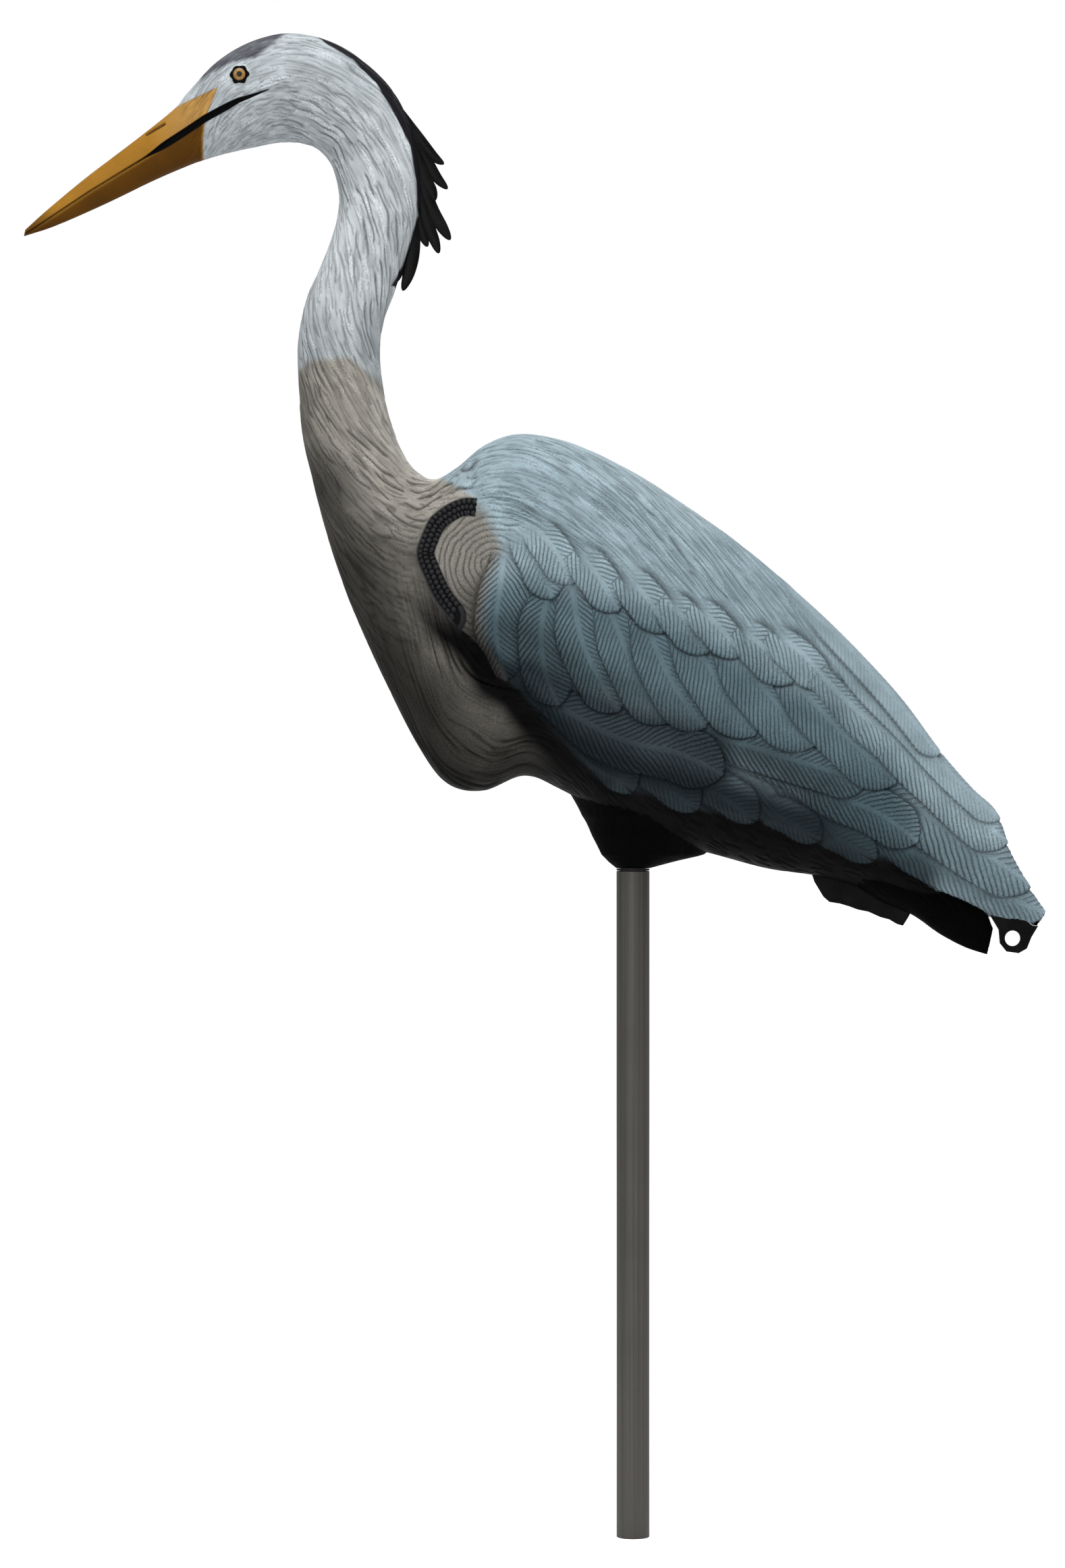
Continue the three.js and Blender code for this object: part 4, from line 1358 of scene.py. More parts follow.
def half_solid(place: Array) -> bmesh.types.BMesh:
    """A closed solid between a skin and the middle plane.

    Args:
        place: The skin's points in rows and columns, in metres, with both outer columns on the middle plane.

    Returns:
        The solid, its vertices in the points' order.
    """
    rows, columns = place.shape[:2]
    bm = grid_mesh(place)
    first, last = list(range(columns)), list(range((rows - 1) * columns, rows * columns))
    back = [row * columns for row in range(rows)]
    belly = [row * columns + columns - 1 for row in range(rows)]
    for loop in (first, last, back + belly[::-1]):
        bmesh.ops.edgeloop_fill(bm, edges=edges_through(bm, loop))
    bmesh.ops.recalc_face_normals(bm, faces=bm.faces)
    return bm


def loft(rings: Array) -> bmesh.types.BMesh:
    """A closed solid through rings.

    Args:
        rings: Points in rings, in metres, each ring open at its end.

    Returns:
        The solid.
    """
    bm = grid_mesh(np.concatenate([rings, rings[:, :1]], axis=1))
    bmesh.ops.remove_doubles(bm, verts=bm.verts, dist=WELD)
    bmesh.ops.holes_fill(bm, edges=bm.edges)
    bmesh.ops.recalc_face_normals(bm, faces=bm.faces)
    return bm


def turned(profile: tuple[Point, ...], sides: int = 96) -> bmesh.types.BMesh:
    """A solid turned about Z.

    Args:
        profile: Radius and height pairs in millimetres, closed or from axis to axis.
        sides: How many sides it has.

    Returns:
        The solid.
    """
    bm = bmesh.new()
    points = [bm.verts.new((radius * MM, 0, height * MM)) for radius, height in profile]
    edges = [bm.edges.new(pair) for pair in zip(points, points[1:])]
    bmesh.ops.spin(bm, geom=points + edges, axis=(0, 0, 1), angle=2 * math.pi, steps=sides, use_merge=True)
    bmesh.ops.remove_doubles(bm, verts=bm.verts, dist=WELD)
    bmesh.ops.recalc_face_normals(bm, faces=bm.faces)
    return bm


def rod(radius: float, low: float, high: float) -> tuple[Point, ...]:
    """A plain rod's profile."""
    return ((0, low), (radius, low), (radius, high), (0, high))


def tube(inner: float, outer: float, low: float, high: float, soft: float = 0.35) -> tuple[Point, ...]:
    """A tube's closed profile with softened rims."""
    lower = ((inner, low + soft), (inner + soft, low), (outer - soft, low), (outer, low + soft))
    upper = ((outer, high - soft), (outer - soft, high), (inner + soft, high), (inner, high - soft))
    return (*lower, *upper, lower[0])


def across(bm: bmesh.types.BMesh, x: float, z: float) -> bmesh.types.BMesh:
    """Lays a solid turned about Z along +Y, through a place in the side view, in millimetres."""
    bmesh.ops.rotate(bm, verts=bm.verts, cent=(0, 0, 0), matrix=Matrix.Rotation(-math.pi / 2, 3, "X"))
    bmesh.ops.translate(bm, verts=bm.verts, vec=(x * MM, 0, z * MM))
    return bm


def joined(parts: list[bmesh.types.BMesh]) -> bmesh.types.BMesh:
    """Several solids as one bmesh."""
    whole = bmesh.new()
    for part in parts:
        spare = bpy.data.meshes.new("spare")
        part.to_mesh(spare)
        part.free()
        whole.from_mesh(spare)
        bpy.data.meshes.remove(spare)
    return whole


def place_object(name: str, bm: bmesh.types.BMesh, lift: float) -> bpy.types.Object:
    """Brings a bmesh into the scene.

    Args:
        name: The object's name.
        bm: The bmesh, which is used up.
        lift: How far up to move it, in metres.

    Returns:
        The object, at the origin.
    """
    bmesh.ops.translate(bm, verts=bm.verts, vec=(0, 0, lift))
    mesh = bpy.data.meshes.new(name)
    bm.to_mesh(mesh)
    bm.free()
    piece = bpy.data.objects.new(name, mesh)
    bpy.context.scene.collection.objects.link(piece)
    return piece


def smooth_but_sharp(piece: bpy.types.Object, angle: float) -> None:
    """Shades a piece smooth, but for edges sharper than an angle in degrees."""
    piece.data.polygons.foreach_set("use_smooth", np.ones(len(piece.data.polygons), bool))
    piece.data.set_sharp_from_angle(angle=math.radians(angle))


def overlaps(first: bpy.types.Object, second: bpy.types.Object) -> bool:
    """Whether the boxes of two objects at the origin meet."""
    one, two = (np.array([corner[:] for corner in item.bound_box]) for item in (first, second))
    return bool((one.min(0) < two.max(0)).all() and (two.min(0) < one.max(0)).all())


def carve(piece: bpy.types.Object, tools: list[tuple[str, bpy.types.Object]]) -> None:
    """Adds or cuts away tools, and keeps the result as the piece's own mesh.

    Args:
        piece: The piece.
        tools: Pairs of UNION or DIFFERENCE and a closed object.
    """
    for way, tool in tools:
        if overlaps(piece, tool):
            step = piece.modifiers.new(tool.name, "BOOLEAN")
            step.operation = way
            step.solver = "MANIFOLD"
            step.object = tool
    seen = piece.evaluated_get(bpy.context.evaluated_depsgraph_get())
    mesh = bpy.data.meshes.new_from_object(seen)
    piece.modifiers.clear()
    old = piece.data
    piece.data = mesh
    bpy.data.meshes.remove(old)
    mesh.name = piece.name


def mend(piece: bpy.types.Object) -> None:
    """Gives vertices that a cut made the values of the nearest vertex that was there before."""
    mesh = piece.data
    number = len(mesh.vertices)
    known = np.empty(number, np.float32)
    mesh.attributes["known"].data.foreach_get("value", known)
    spots = spots_of(mesh)
    old = np.flatnonzero(known > UNCUT)
    new = np.flatnonzero(known <= UNCUT)
    tree = KDTree(len(old))
    for index, spot in zip(old.tolist(), spots[old]):
        tree.insert(spot, index)
    tree.balance()
    source = np.arange(number)
    source[new] = [tree.find(spot)[1] for spot in spots[new]]
    for layer in mesh.attributes:
        if layer.domain != "POINT" or layer.data_type not in {"FLOAT", "FLOAT_COLOR"}:
            continue
        key, width = ("value", 1) if layer.data_type == "FLOAT" else ("color", 4)
        values = np.empty(number * width, np.float32)
        layer.data.foreach_get(key, values)
        layer.data.foreach_set(key, values.reshape(number, width)[source].ravel())
    mesh.attributes.remove(mesh.attributes["known"])


def count(piece: bpy.types.Object) -> int:
    """How many triangles a piece has."""
    piece.data.calc_loop_triangles()
    return len(piece.data.loop_triangles)


def hand_over(
    piece: bpy.types.Object, finish: bpy.types.Material, node: str, body: Body, angle: float = 50
) -> None:
    """Dresses a finished piece, hides the CAD node that it stands for and hangs it on its body.

    Args:
        piece: The piece.
        finish: Its material.
        node: The CAD node that it stands for.
        body: The body it rides on.
        angle: Edges sharper than this stay sharp, in degrees.
    """
    smooth_but_sharp(piece, angle)
    piece.data.materials.clear()
    piece.data.materials.append(finish)
    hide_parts(node)
    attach(piece, body.value)
    LOG.info("%s: %d triangles", piece.name, count(piece))


def to_side(bm: bmesh.types.BMesh, side: Side) -> bmesh.types.BMesh:
    """Turns a solid that was turned about Z over for the left side."""
    if side is Side.LEFT:
        bmesh.ops.rotate(bm, verts=bm.verts, cent=(0, 0, 0), matrix=Matrix.Rotation(math.pi, 3, "X"))
    return bm


def node_box(name: str) -> Array:
    """A CAD node's corners in millimetres, lowest first."""
    return np.array([corner[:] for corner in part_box(name)]) / MM


# ---- sub-assemblies ----


@dataclass
class Shells:
    """The two moulded halves of the bird, each in stretches from the bill to the tail.

    Attributes:
        lift: Height of the bird's own zero over the ground, in metres.
        finish: The material.
        half_gap: Half of the gap between the halves.
        wall: Thickness of the wall, with room for the carving.
        boss_wall: Wall of a screw post.
        shaft: Radius of a screw's hole.
        well: Radius of the well that a screw's head sits in.
        seat: Distance from the middle plane to a screw's seat.
        far: Past every face of the bird.
    """

    lift: float
    finish: bpy.types.Material
    half_gap: float = 0.15
    wall: float = 3.8
    boss_wall: float = 2.6
    shaft: float = 1.8
    well: float = 4.1
    seat: float = 9.7
    far: float = 90.0
    tools: dict[Side, list[tuple[str, bpy.types.Object]]] = field(default_factory=dict)

    BODY = Form(STATIONS, wing_stands=5.0)
    TAIL = Form(TAIL_STATIONS)
    # Name, first and last station, distance between rows and number of columns.
    STRETCHES = (
        ("head", 0, 11, 0.62, 150),
        ("neck", 11, 22, 0.62, 180),
        ("breast", 22, 26, 0.70, 360),
        ("shoulder", 26, 30, 0.74, 400),
        ("saddle", 30, 33, 0.74, 400),
        ("rump", 33, 36, 0.74, 360),
        ("wing_tip", 36, 41, 0.70, 230),
    )

    def build(self) -> None:
        """Builds both halves."""
        for side in Side:
            self.tools[side] = self._tools(side)
        for name, first, last, step, columns in self.STRETCHES:
            skin = self.BODY.skin(self.BODY.rows(first, last, step), columns)
            relief = Plumage().carve(skin)
            for side in Side:
                self._stretch(f"{side.word}_{name}", side, skin, relief)
        for side in Side:
            for _, tool in self.tools[side]:
                if tool.name in bpy.data.objects:
                    bpy.data.objects.remove(tool)

    def _stretch(self, name: str, side: Side, skin: Skin, relief: Relief) -> None:
        """Builds one stretch of one half.

        Args:
            name: Its name.
            side: Which half.
            skin: The bare surface, on the left.
            relief: What is carved into it.
        """
        piece = place_object(name, half_solid(self._raised(side, skin, relief)[1:-1] * MM), self.lift)
        job = PaintJob()
        marks = {"wash_and_shade": relief.wash_and_shade, "dry": relief.dry, "phase": relief.phase, "barbs": relief.barbs}
        marks |= {"known": np.ones(skin.x.shape), **job.lines(skin)}
        for key, values in marks.items():
            add_layer(piece.data, key, values[1:-1].ravel())
        coat = np.ones((*skin.x[1:-1].shape, 4))
        coat[..., :3] = job.coat(skin, relief)[1:-1]
        add_layer(piece.data, "coat", coat.reshape(-1, 4))
        carve(piece, self.tools[side])
        mend(piece)
        hand_over(piece, self.finish, f"{side.word}_shell", Body.BIRD)

    def _raised(self, side: Side, skin: Skin, relief: Relief) -> Array:
        """The carved surface's points, on one side of the gap between the halves."""
        place = skin.place + skin.outward() * relief.height[..., None]
        place[..., 1] = np.minimum(place[..., 1], -self.half_gap)
        place[:, (0, -1), 1] = -self.half_gap
        if side is Side.RIGHT:
            place = place * (1, -1, 1)
        return place

    def _tools(self, side: Side) -> list[tuple[str, bpy.types.Object]]:
        """What is added to a half and cut from it, in order."""
        thigh = self._tool("thigh", self._thigh(side, 0, THIGH_RINGS[0][0]))
        tail = self._tool("tail", half_solid(self._tail(side) * MM))
        for tool in (thigh, tail):
            self._dark(tool)
        hollow = self._tool("hollow", self._hollow(side))
        cavity = self._tool("cavity", self._thigh(side, self.wall, 8, -1.0))
        posts = self._tool("posts", self._posts(side))
        carve(hollow, [("UNION", cavity), ("DIFFERENCE", posts)])
        mouth = self._tool("mouth", turned(rod(7.5, -8, 12), 64))
        screws = self._tool("screws", self._screw_holes(side))
        eye = self._tool("eye", self._eye_hole(side))
        slots = [self._slot(name) for name in ("crest_plumes", "tail_lug")]
        cuts = [hollow, mouth, screws, eye, *slots]
        bpy.data.objects.remove(cavity)
        bpy.data.objects.remove(posts)
        return [("UNION", thigh), ("UNION", tail)] + [("DIFFERENCE", cut) for cut in cuts]

    def _tool(self, name: str, bm: bmesh.types.BMesh) -> bpy.types.Object:
        """A cutting tool as an object, in the bird's place."""
        return place_object(f"tool_{name}", bm, self.lift)

    def _dark(self, tool: bpy.types.Object) -> None:
        """Gives a tool that is added to a shell the belly's black paint."""
        number = len(tool.data.vertices)
        add_layer(tool.data, "coat", np.tile(Pot.BLACK.rgba(), (number, 1)))
        # A little dark hollow paint and pale ridge paint, partly painted shade and highlight, as on the rest
        # of the shell.
        carved = {"wash_and_shade": 0.2, "dry": 0.1, "phase": 0.0, "barbs": 0.0}
        marked = {"mouth": PaintJob.OFF_MOUTH, "crown": PaintJob.NEVER, "nape": PaintJob.NEVER}
        for key, value in {**carved, **marked, "known": 1.0}.items():
            add_layer(tool.data, key, np.full(number, value))

    def _thigh(self, side: Side, inset: float, start: float, plane: float | None = None) -> bmesh.types.BMesh:
        """Half of the thigh as a solid.

        Args:
            side: Which half.
            inset: How far inside the thigh's surface to stay.
            start: The height to start at.
            plane: Distance of its flat face from the middle plane, or the halves' own gap.

        Returns:
            The solid.
        """
        rings = np.array(THIGH_RINGS, float)
        heights = np.linspace(start, rings[-1, 0], 60)
        values = np.stack([np.interp(heights, rings[:, 0], rings[:, k]) for k in (1, 2, 3)], axis=-1)
        smoothed = through(rings, np.interp(heights, rings[:, 0], np.arange(len(rings), dtype=float)))[:, 1:]
        values = np.where((heights > rings[1, 0])[:, None], smoothed, values)
        turn = np.linspace(0, math.pi, 90)
        x = values[:, 0:1] + (values[:, 1:2] - inset) * np.cos(turn)
        face = self.half_gap if plane is None else plane
        y = -face - np.maximum((values[:, 2:3] - inset) * np.sin(turn) - max(face, 0), 0)
        if not inset:
            tuft = groove(x, heights[:, None] + 0 * x, 5.0, 14, 81, 0.9)
            y = np.minimum(y + 0.8 * tuft * (np.sin(turn) > 0.15), -face)
        z = np.broadcast_to(heights[:, None], x.shape)
        return half_solid(np.stack([x, y * -side.value, z], axis=-1) * MM)

    def _tail(self, side: Side) -> Array:
        """The tail's carved surface on one side, in millimetres."""
        skin = self.TAIL.skin(self.TAIL.rows(0, len(TAIL_STATIONS) - 1, 1.1), 70)
        along = np.broadcast_to(skin.along, skin.x.shape)
        inside = groove(skin.arc - 0.25 * skin.along, along, 4.5, 40, 91)
        # Dark paint in the tail's grooves, partly painted shade, and pale paint between them, partly painted
        # highlight.
        relief = Relief.bare(-0.6 * inside, inside, 1 - inside)
        return self._raised(side, skin, relief)[1:-1]

    def _hollow(self, side: Side) -> bmesh.types.BMesh:
        """The room inside a half, open across the middle plane."""
        skin = Form(STATIONS).skin(self.BODY.rows(5, 36, 6), 60, self.wall + 1.2)
        place = skin.place[1:-1].copy()
        place[:, (0, -1), 1] = 1.0
        return half_solid(place * (1, -side.value, 1) * MM)

    def _screws(self) -> list[tuple[float, float, float]]:
        """Each screw's place in the side view, and the face that its post starts from."""
        places = []
        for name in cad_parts:
            if "screw_" not in name:
                continue
            low, high = node_box(name)
            middle = (low + high) / 2
            face = 2.3 if name.startswith("socket") else self.half_gap
            places.append((middle[0], middle[2] - self.lift / MM, face))
        return places

    def _posts(self, side: Side) -> bmesh.types.BMesh:
        """The screw posts as rods that run out through the wall."""
        radius = (self.shaft if side is Side.LEFT else self.well) + self.boss_wall
        low, high = (-self.far, -1.0) if side is Side.LEFT else (1.0, self.far)
        made = []
        for x, z, face in self._screws():
            start = (low, -face) if side is Side.LEFT else (face, high)
            made.append(across(turned(rod(radius, *start), 32), x, z))
        return joined(made)

    def _screw_holes(self, side: Side) -> bmesh.types.BMesh:
        """Pilot holes in the left half, or clear holes with wells in the right half."""
        if side is Side.LEFT:
            profile = rod(self.shaft, -12.3, 5)
        else:
            wide = ((self.shaft, self.seat), (self.well, self.seat), (self.well, self.far), (0, self.far))
            profile = ((0, -5), (self.shaft, -5), *wide)
        return joined([across(turned(profile, 40), x, z) for x, z, _ in self._screws()])

    def _eye_hole(self, side: Side) -> bmesh.types.BMesh:
        """The room for one eye."""
        low, high = node_box(f"{side.word}_eye")
        radius = (high[0] - low[0]) / 2 + 0.15
        near = min(abs(low[1]), abs(high[1])) - 0.3
        hole = to_side(turned(rod(radius, near, self.far), 64), side)
        middle = (low + high) / 2
        return across(hole, middle[0], middle[2] - self.lift / MM)

    def _slot(self, name: str) -> bpy.types.Object:
        """Room for a plate that the halves hold, from its own shape grown a little."""
        bm = bmesh.new()
        bm.from_mesh(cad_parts[name].data)
        bmesh.ops.remove_doubles(bm, verts=bm.verts, dist=1e-6)
        bm.normal_update()
        grown = [(vertex, vertex.co + vertex.normal * 0.4 * MM) for vertex in bm.verts]
        for vertex, spot in grown:
            vertex.co = spot
        return place_object(f"tool_{name}", bm, 0.0)


@dataclass
class Crest:
    """The black plumes behind the head, as overlapping blades in the middle plane.

    Attributes:
        lift: Height of the bird's own zero over the ground, in metres.
        finish: The material.
        thick: Half of a blade's thickness at its root.
        rings: How many rings a blade has.
        sides: How many sides a ring has.
    """

    lift: float
    finish: bpy.types.Material
    thick: float = 1.45
    rings: int = 70
    sides: int = 28

    # Each blade's width, how far it leans to one side, and its middle line from root to tip.
    BLADES = (
        (8, 0.0, ((-183, 528), (-165, 514), (-146, 491), (-133, 475), (-126, 469.5))),
        (9, 0.5, ((-170, 520), (-152, 496), (-139, 474), (-131, 461), (-123.6, 453))),
        (10, -0.5, ((-160, 510), (-146, 480), (-139, 460), (-134.5, 452), (-132, 445))),
        (10, 0.2, ((-156, 495), (-144, 465), (-135, 441), (-127.5, 428), (-121.8, 419))),
        (9, -0.3, ((-152, 478), (-143, 450), (-137, 430), (-132.5, 419), (-129.4, 410))),
        (8, 0.5, ((-151, 468), (-145, 446), (-142, 430), (-139.5, 421), (-137, 414.5))),
        (11, -0.2, ((-152, 468), (-148, 440), (-147, 415), (-149, 399), (-153.5, 385))),
        (8, 0.3, ((-157, 450), (-153, 428), (-153.5, 409), (-157, 396), (-161, 389.5))),
    )

    def build(self) -> None:
        """Builds the blades as one piece."""
        parts = [self._blade(*blade) for blade in self.BLADES]
        piece = place_object("crest_blades", joined(parts), self.lift)
        hand_over(piece, self.finish, "crest_plumes", Body.BIRD, 60)

    def _blade(self, width: float, lean: float, line: tuple[Point, ...]) -> bmesh.types.BMesh:
        """One blade.

        Args:
            width: Its width where it is widest.
            lean: How far its tip leans to +Y.
            line: Its middle line.

        Returns:
            The blade as a closed solid.
        """
        corners = np.array(line, float)
        t = np.linspace(0, 1, self.rings)
        middle = through(corners, t * (len(corners) - 1))
        tangent = np.gradient(middle, axis=0)
        tangent /= np.linalg.norm(tangent, axis=1, keepdims=True)
        normal = np.stack([-tangent[:, 1], tangent[:, 0]], axis=-1)
        half = 0.5 * width * (0.75 + 0.25 * smooth(t, 0, 0.4)) * np.sqrt(np.maximum(1 - t**3.2, 0.0004))
        thick = self.thick * (1 - 0.62 * t)
        turn = np.arange(self.sides) * 2 * math.pi / self.sides
        out = np.cos(turn)[None, :] * half[:, None]
        barbs = 0.16 * np.cos((t[:, None] * 70 - np.abs(np.cos(turn))[None, :] * 3) * 2.2)
        lens = np.sign(np.sin(turn)) * np.abs(np.sin(turn)) ** 1.3
        rise = lens[None, :] * (thick[:, None] + barbs * np.abs(np.sin(2 * turn))[None, :])
        y = rise + lean * t[:, None]
        x = middle[:, 0:1] + normal[:, 0:1] * out
        z = middle[:, 1:2] + normal[:, 1:2] * out
        return loft(np.stack([x, y, z], axis=-1) * MM)


@dataclass
class BellyFin:
    """The thin fin moulded on the right half's belly, with a wavy lower edge.

    Attributes:
        lift: Height of the bird's own zero over the ground, in metres.
        finish: The material.
        near: Distance of its flat face from the middle plane.
        far: Distance of its outer face from the middle plane.
        soft: How far its edges are rounded.
    """

    lift: float
    finish: bpy.types.Material
    near: float = 0.15
    far: float = 2.5
    soft: float = 0.7

    OUTLINE = (
        (118, 0), (121, -9), (127, -19), (131, -22.5), (138, -23.6), (144, -25.4), (150, -27.6), (157, -29),
        (165, -32.6), (171, -34.2), (176, -37.2), (180, -38.3), (183.4, -33), (186, -28), (185, -18),
        (182, -8), (166, 1), (150, 4), (134, 6),
    )

    def build(self) -> None:
        """Builds the fin."""
        bm = bmesh.new()
        corners = [bm.verts.new((x * MM, self.near * MM, z * MM)) for x, z in self.OUTLINE]
        face = bm.faces.new(corners)
        grown = bmesh.ops.extrude_face_region(bm, geom=[face])
        moved = [item for item in grown["geom"] if isinstance(item, bmesh.types.BMVert)]
        bmesh.ops.translate(bm, verts=moved, vec=(0, (self.far - self.near) * MM, 0))
        bmesh.ops.recalc_face_normals(bm, faces=bm.faces)
        outer = [edge for edge in bm.edges if all(vertex in moved for vertex in edge.verts)]
        offset = self.soft * MM
        bmesh.ops.bevel(bm, geom=outer, offset=offset, segments=3, profile=0.5, affect="EDGES", material=-1)
        piece = place_object("belly_fin", bm, self.lift)
        hand_over(piece, self.finish, "right_shell", Body.BIRD)


@dataclass
class Eyes:
    """The two glass eyes.

    Attributes:
        finish: The material.
        soft: How far the edge of the back is rounded.
        dome: How far the dome stands out of the eye's edge.
        rings: How many rings the dome has.
    """

    finish: bpy.types.Material
    soft: float = 0.5
    dome: float = 1.6
    rings: int = 10

    def build(self) -> None:
        """Builds both eyes."""
        for side in Side:
            name = f"{side.word}_eye"
            low, high = node_box(name)
            middle, radius = (low + high) / 2, (high[0] - low[0]) / 2
            near, far = sorted((abs(low[1]), abs(high[1])))
            edge = far - self.dome
            arcs = [k / self.rings * math.pi / 2 for k in range(1, self.rings)]
            cap = [(radius * math.cos(a), edge + self.dome * math.sin(a)) for a in arcs]
            back = ((0, near), (radius - self.soft, near), (radius, near + self.soft))
            bm = to_side(turned((*back, (radius, edge), *cap, (0, far)), 64), side)
            piece = place_object(f"{name}_glass", across(bm, middle[0], middle[2]), 0.0)
            spots = spots_of(piece.data)
            ray = np.hypot(spots[:, 0] - middle[0] * MM, spots[:, 2] - middle[2] * MM)
            add_layer(piece.data, "ray", ray)
            hand_over(piece, self.finish, name, Body.BIRD)


@dataclass
class Stake:
    """The pole, its bushes and plug, and the bird's spigot, leg socket and pin.

    Attributes:
        pole: The pole's metal.
        steel: The metal of the spigot and the pin.
        nylon: The bushes' plastic.
        black: The plug's and the socket's plastic.
        wall: The pole's wall.
        spigot_wall: The spigot's wall.
        running: Room between the spigot and a bush.
        flange: Thickness of the swivel bush's flange.
        press: Room between a bush and the pole's bore.
    """

    pole: bpy.types.Material
    steel: bpy.types.Material
    nylon: bpy.types.Material
    black: bpy.types.Material
    wall: float = 1.8
    spigot_wall: float = 1.5
    running: float = 0.5
    flange: float = 1.2
    press: float = 0.3

    def build(self) -> None:
        """Builds the round pieces anew and gives the hidden ones their finish."""
        low, high = node_box("pole_tube")
        outer = (high[0] - low[0]) / 2
        bore = outer - self.wall
        profile = tube(bore, outer, low[2], high[2])
        self._round("pole_pipe", "pole_tube", profile, self.pole, Body.POLE)
        low, high = node_box("spigot")
        slim = (high[0] - low[0]) / 2
        profile = tube(slim - self.spigot_wall, slim, low[2], high[2])
        spigot = self._round("spigot_pipe", "spigot", profile, self.steel, Body.BIRD)
        self._drill(spigot)
        profile = self._bush_profile(slim + self.running, bore - self.press)
        self._round("swivel_bush_turned", "swivel_bush", profile, self.nylon, Body.SWIVEL)
        for name, material in {
            "foot_plug": self.black,
            "lower_bush": self.nylon,
            "leg_socket": self.black,
            "spigot_pin": self.steel,
        }.items():
            dress_node(name, material)

    def _bush_profile(self, bore: float, body: float) -> tuple[Point, ...]:
        """The swivel bush's closed profile.

        Args:
            bore: Radius of its bore.
            body: Radius of the part inside the pole.

        Returns:
            Radius and height pairs, the heights over the ground.
        """
        low, high = node_box("swivel_bush")
        rim, foot, top = (high[0] - low[0]) / 2, low[2], high[2]
        collar = top - self.flange
        inside = ((bore, foot), (body - 0.4, foot), (body, foot + 0.4), (body, collar), (rim - 0.25, collar))
        outside = ((rim, collar + 0.25), (rim, top - 0.35), (rim - 0.35, top))
        return (*inside, *outside, (bore + 0.3, top), (bore, top - 0.3), (bore, foot))

    def _round(
        self,
        name: str,
        node: str,
        profile: tuple[Point, ...],
        finish: bpy.types.Material,
        body: Body,
    ) -> bpy.types.Object:
        """A turned piece on the pole's axis.

        Args:
            name: The piece's name.
            node: The CAD node that it stands for.
            profile: Its profile, in millimetres over the ground.
            finish: Its material.
            body: The body it rides on.

        Returns:
            The piece.
        """
        piece = place_object(name, turned(profile), 0.0)
        hand_over(piece, finish, node, body, 35)
        return piece

    def _drill(self, spigot: bpy.types.Object) -> None:
        """Drills the spigot for its pin."""
        low, high = node_box("spigot_pin")
        radius = (high[2] - low[2]) / 2 + 0.3
        bit = across(turned(rod(radius, -20, 20), 48), 0, (low[2] + high[2]) / 2)
        drill = place_object("tool_pin", bit, 0.0)
        carve(spigot, [("DIFFERENCE", drill)])
        smooth_but_sharp(spigot, 35)
        bpy.data.objects.remove(drill)


@dataclass
class Screws:
    """The pan-head screws that hold the halves together, with crossed recesses.

    Attributes:
        finish: Their metal.
        head: Radius of a head.
        shank: Radius of the thread's core.
        thread: How far the thread stands out.
        pitch: Distance between two turns of the thread.
        tall: Height of a head.
        bar: Length, width and depth of each bar of the recess, the depth measured to both sides of the top.
    """

    finish: bpy.types.Material
    head: float = 3.8
    shank: float = 1.15
    thread: float = 0.34
    pitch: float = 1.1
    tall: float = 2.6
    bar: tuple[float, float, float] = (4.4, 0.9, 3.0)

    def build(self) -> None:
        """Builds every screw."""
        for name in sorted(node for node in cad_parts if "screw_" in node):
            low, high = node_box(name)
            middle = (low + high) / 2
            screw = across(self._screw(low[1], high[1]), middle[0], middle[2])
            piece = place_object(f"{name}_turned", screw, 0.0)
            hand_over(piece, self.finish, name, Body.BIRD, 35)

    def _screw(self, point: float, top: float) -> bmesh.types.BMesh:
        """A screw along Z.

        Args:
            point: Where its point is.
            top: Where the top of its head is.

        Returns:
            The screw.
        """
        seat = top - self.tall
        turns = int((seat - point - 4.0) / self.pitch)
        profile = [(0.0, point), (0.5, point + 1.0)]
        for turn in range(turns):
            foot = point + 2.2 + turn * self.pitch
            profile += [(self.shank, foot), (self.shank + self.thread, foot + 0.4 * self.pitch)]
            profile += [(self.shank, foot + 0.8 * self.pitch)]
        arcs = [k * math.pi / 12 for k in range(7)]
        dome = [(self.head * math.cos(a) ** 0.7, seat + 0.7 + 1.9 * math.sin(a)) for a in arcs[:-1]]
        profile += [(self.shank + 0.2, seat), (self.head, seat), *dome, (0.0, top)]
        bm = turned(tuple(profile), 24)
        screw = place_object("spare_screw", bm, 0.0)
        cutters = []
        for turn in (0.0, math.pi / 2):
            bar = bmesh.new()
            shape = Matrix.Rotation(turn, 4, "Z") @ Matrix.Diagonal((*self.bar, 1))
            bmesh.ops.create_cube(bar, size=1, matrix=shape)
            bmesh.ops.scale(bar, verts=bar.verts, vec=(MM, MM, MM))
            bmesh.ops.translate(bar, verts=bar.verts, vec=(0, 0, top * MM))
            cutters.append(place_object("tool_bar", bar, 0.0))
        carve(screw, [("DIFFERENCE", cutter) for cutter in cutters])
        cut = bmesh.new()
        cut.from_mesh(screw.data)
        for spare in (screw, *cutters):
            bpy.data.objects.remove(spare)
        return cut


def dress_node(name: str, material: bpy.types.Material) -> None:
    """Gives a CAD node a finish."""
    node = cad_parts[name]
    if not node.data.materials:
        node.data.materials.append(material)
    for slot in node.material_slots:
        slot.material = material


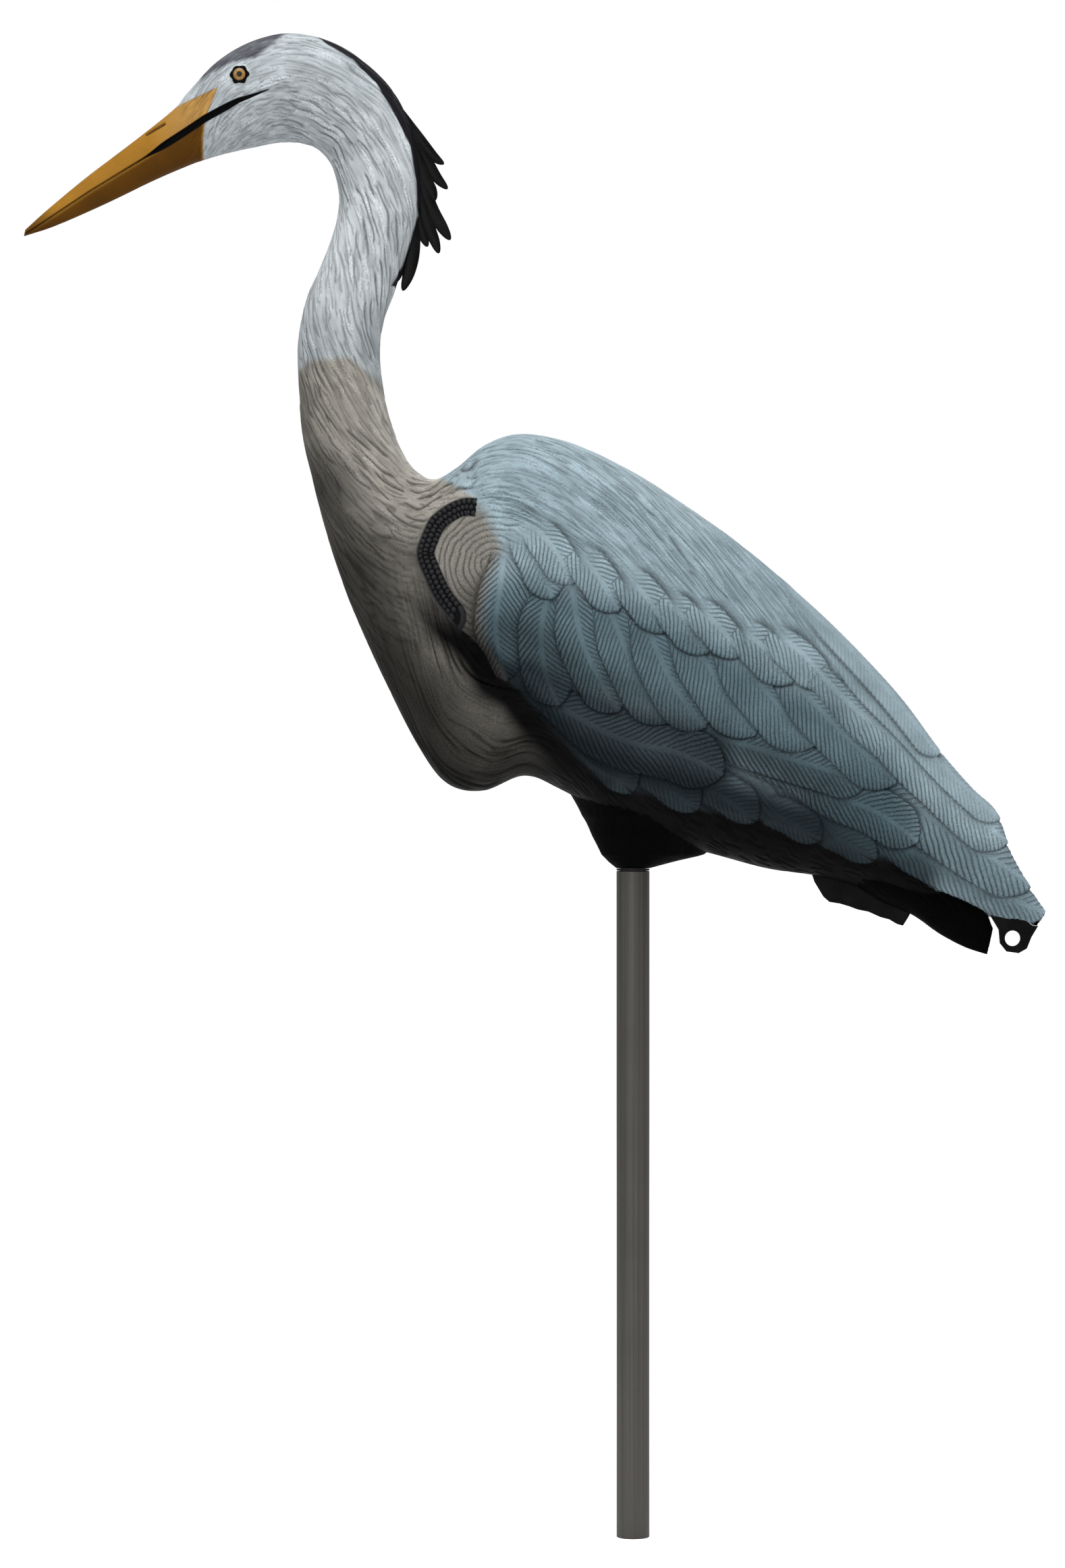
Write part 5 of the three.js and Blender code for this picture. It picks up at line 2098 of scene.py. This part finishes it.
@dataclass
class Studio:
    """The pale backdrop, the soft lights and the camera.

    Attributes:
        eye_x: The camera's place along X, in metres.
        eye_z: The camera's height, in metres.
        away: Its distance from the bird's middle plane, in metres.
        tall: Height of what it sees at that plane, in metres.
        sensor: The long side of its sensor, in millimetres.
        sky: How much light comes from all round.
        glow: How much the floor is lightened for the camera alone, so that no horizon shows.
    """

    eye_x: float = -0.067
    eye_z: float = 0.502
    away: float = 3.0
    tall: float = 1.0458
    sensor: float = 36.0
    sky: float = 0.36
    glow: float = 0.75

    def build(self) -> None:
        """Sets everything up."""
        self._camera()
        self._backdrop()
        self._light("top_light", (-0.1, -0.9, 2.7), (0, 0, 0.75), 1.6, 40)
        self._light("front_light", (-0.7, -2.8, 1.5), (0, 0, 0.7), 1.6, 11)
        self._light("rear_light", (0.5, 2.5, 2.1), (0, 0, 0.7), 1.6, 18)
        bpy.context.scene.view_settings.view_transform = "Standard"
        world = bpy.data.worlds.new("studio")
        bpy.context.scene.world = world
        world.use_nodes = True
        tree = world.node_tree
        sky = tree.nodes["Background"]
        sky.inputs["Color"].default_value = (1, 1, 1, 1)
        path = tree.nodes.new("ShaderNodeLightPath")
        seen = tree.nodes.new("ShaderNodeMapRange")
        seen.inputs["To Min"].default_value = self.sky
        seen.inputs["To Max"].default_value = 1.0
        tree.links.new(path.outputs["Is Camera Ray"], seen.inputs["Value"])
        tree.links.new(seen.outputs["Result"], sky.inputs["Strength"])

    def _camera(self) -> None:
        """The camera, level and square to the bird's side."""
        data = bpy.data.cameras.new("camera")
        data.sensor_width = self.sensor
        data.lens = self.sensor * self.away / self.tall
        data.clip_end = 50
        camera = bpy.data.objects.new("camera", data)
        camera.location = (self.eye_x, -self.away, self.eye_z)
        camera.rotation_euler = (math.pi / 2, 0, 0)
        bpy.context.scene.collection.objects.link(camera)
        bpy.context.scene.camera = camera

    def _light(self, name: str, place: tuple, aim: tuple, size: float, power: float) -> None:
        """A square soft light.

        Args:
            name: Its name.
            place: Where it is, in metres.
            aim: Where it points, in metres.
            size: Its side, in metres.
            power: Its power in watts.
        """
        data = bpy.data.lights.new(name, "AREA")
        data.size = size
        data.energy = power
        lamp = bpy.data.objects.new(name, data)
        lamp.location = place
        lamp.rotation_euler = (Vector(aim) - Vector(place)).to_track_quat("-Z", "Y").to_euler()
        bpy.context.scene.collection.objects.link(lamp)

    def _backdrop(self) -> None:
        """A wide pale floor."""
        bm = bmesh.new()
        bmesh.ops.create_grid(bm, x_segments=1, y_segments=1, size=30)
        floor = place_object("floor", bm, 0.0)
        nodes = Nodes("pale_floor")
        cloud = nodes.speckle(nodes.place(), 3, 2)
        colour = nodes.mix(cloud, (0.93, 0.93, 0.93, 1), (0.97, 0.97, 0.97, 1))
        seen = nodes.add("ShaderNodeLightPath").outputs["Is Camera Ray"]
        shine = {"Emission_Color": (1, 1, 1, 1), "Emission_Strength": nodes.product(seen, self.glow)}
        floor.data.materials.append(nodes.finish(Base_Color=colour, Roughness=0.9, **shine))


def main() -> None:
    """Builds the whole decoy in its studio."""
    logging.basicConfig(level=logging.INFO, format="%(name)s %(message)s")
    lift = float(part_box("swivel_bush")[1].z) + 0.3 * MM
    black = Moulded("black_plastic", Pot.BLACK, Pot.UMBER, (0.25, 0.42)).make()
    nylon = Moulded("nylon", Pot.UMBER, Pot.BLACK, (0.4, 0.55)).make()
    grey, dull_grey = (0.16, 0.152, 0.142, 1), (0.095, 0.09, 0.083, 1)
    pole = Metal("pole_metal", grey, dull_grey, (0.38, 0.5), (900, 900, 3)).make()
    silver, dull_silver = (0.62, 0.62, 0.63, 1), (0.4, 0.4, 0.41, 1)
    steel = Metal("steel", silver, dull_silver, (0.22, 0.38), (700, 700, 60)).make()
    Shells(lift, PaintedShell().make()).build()
    Crest(lift, black).build()
    BellyFin(lift, black).build()
    Eyes(GlassEye().make()).build()
    Stake(pole, steel, nylon, black).build()
    Screws(steel).build()
    dress_node("tail_lug", black)
    Studio().build()


if __name__ == "__main__":
    main()
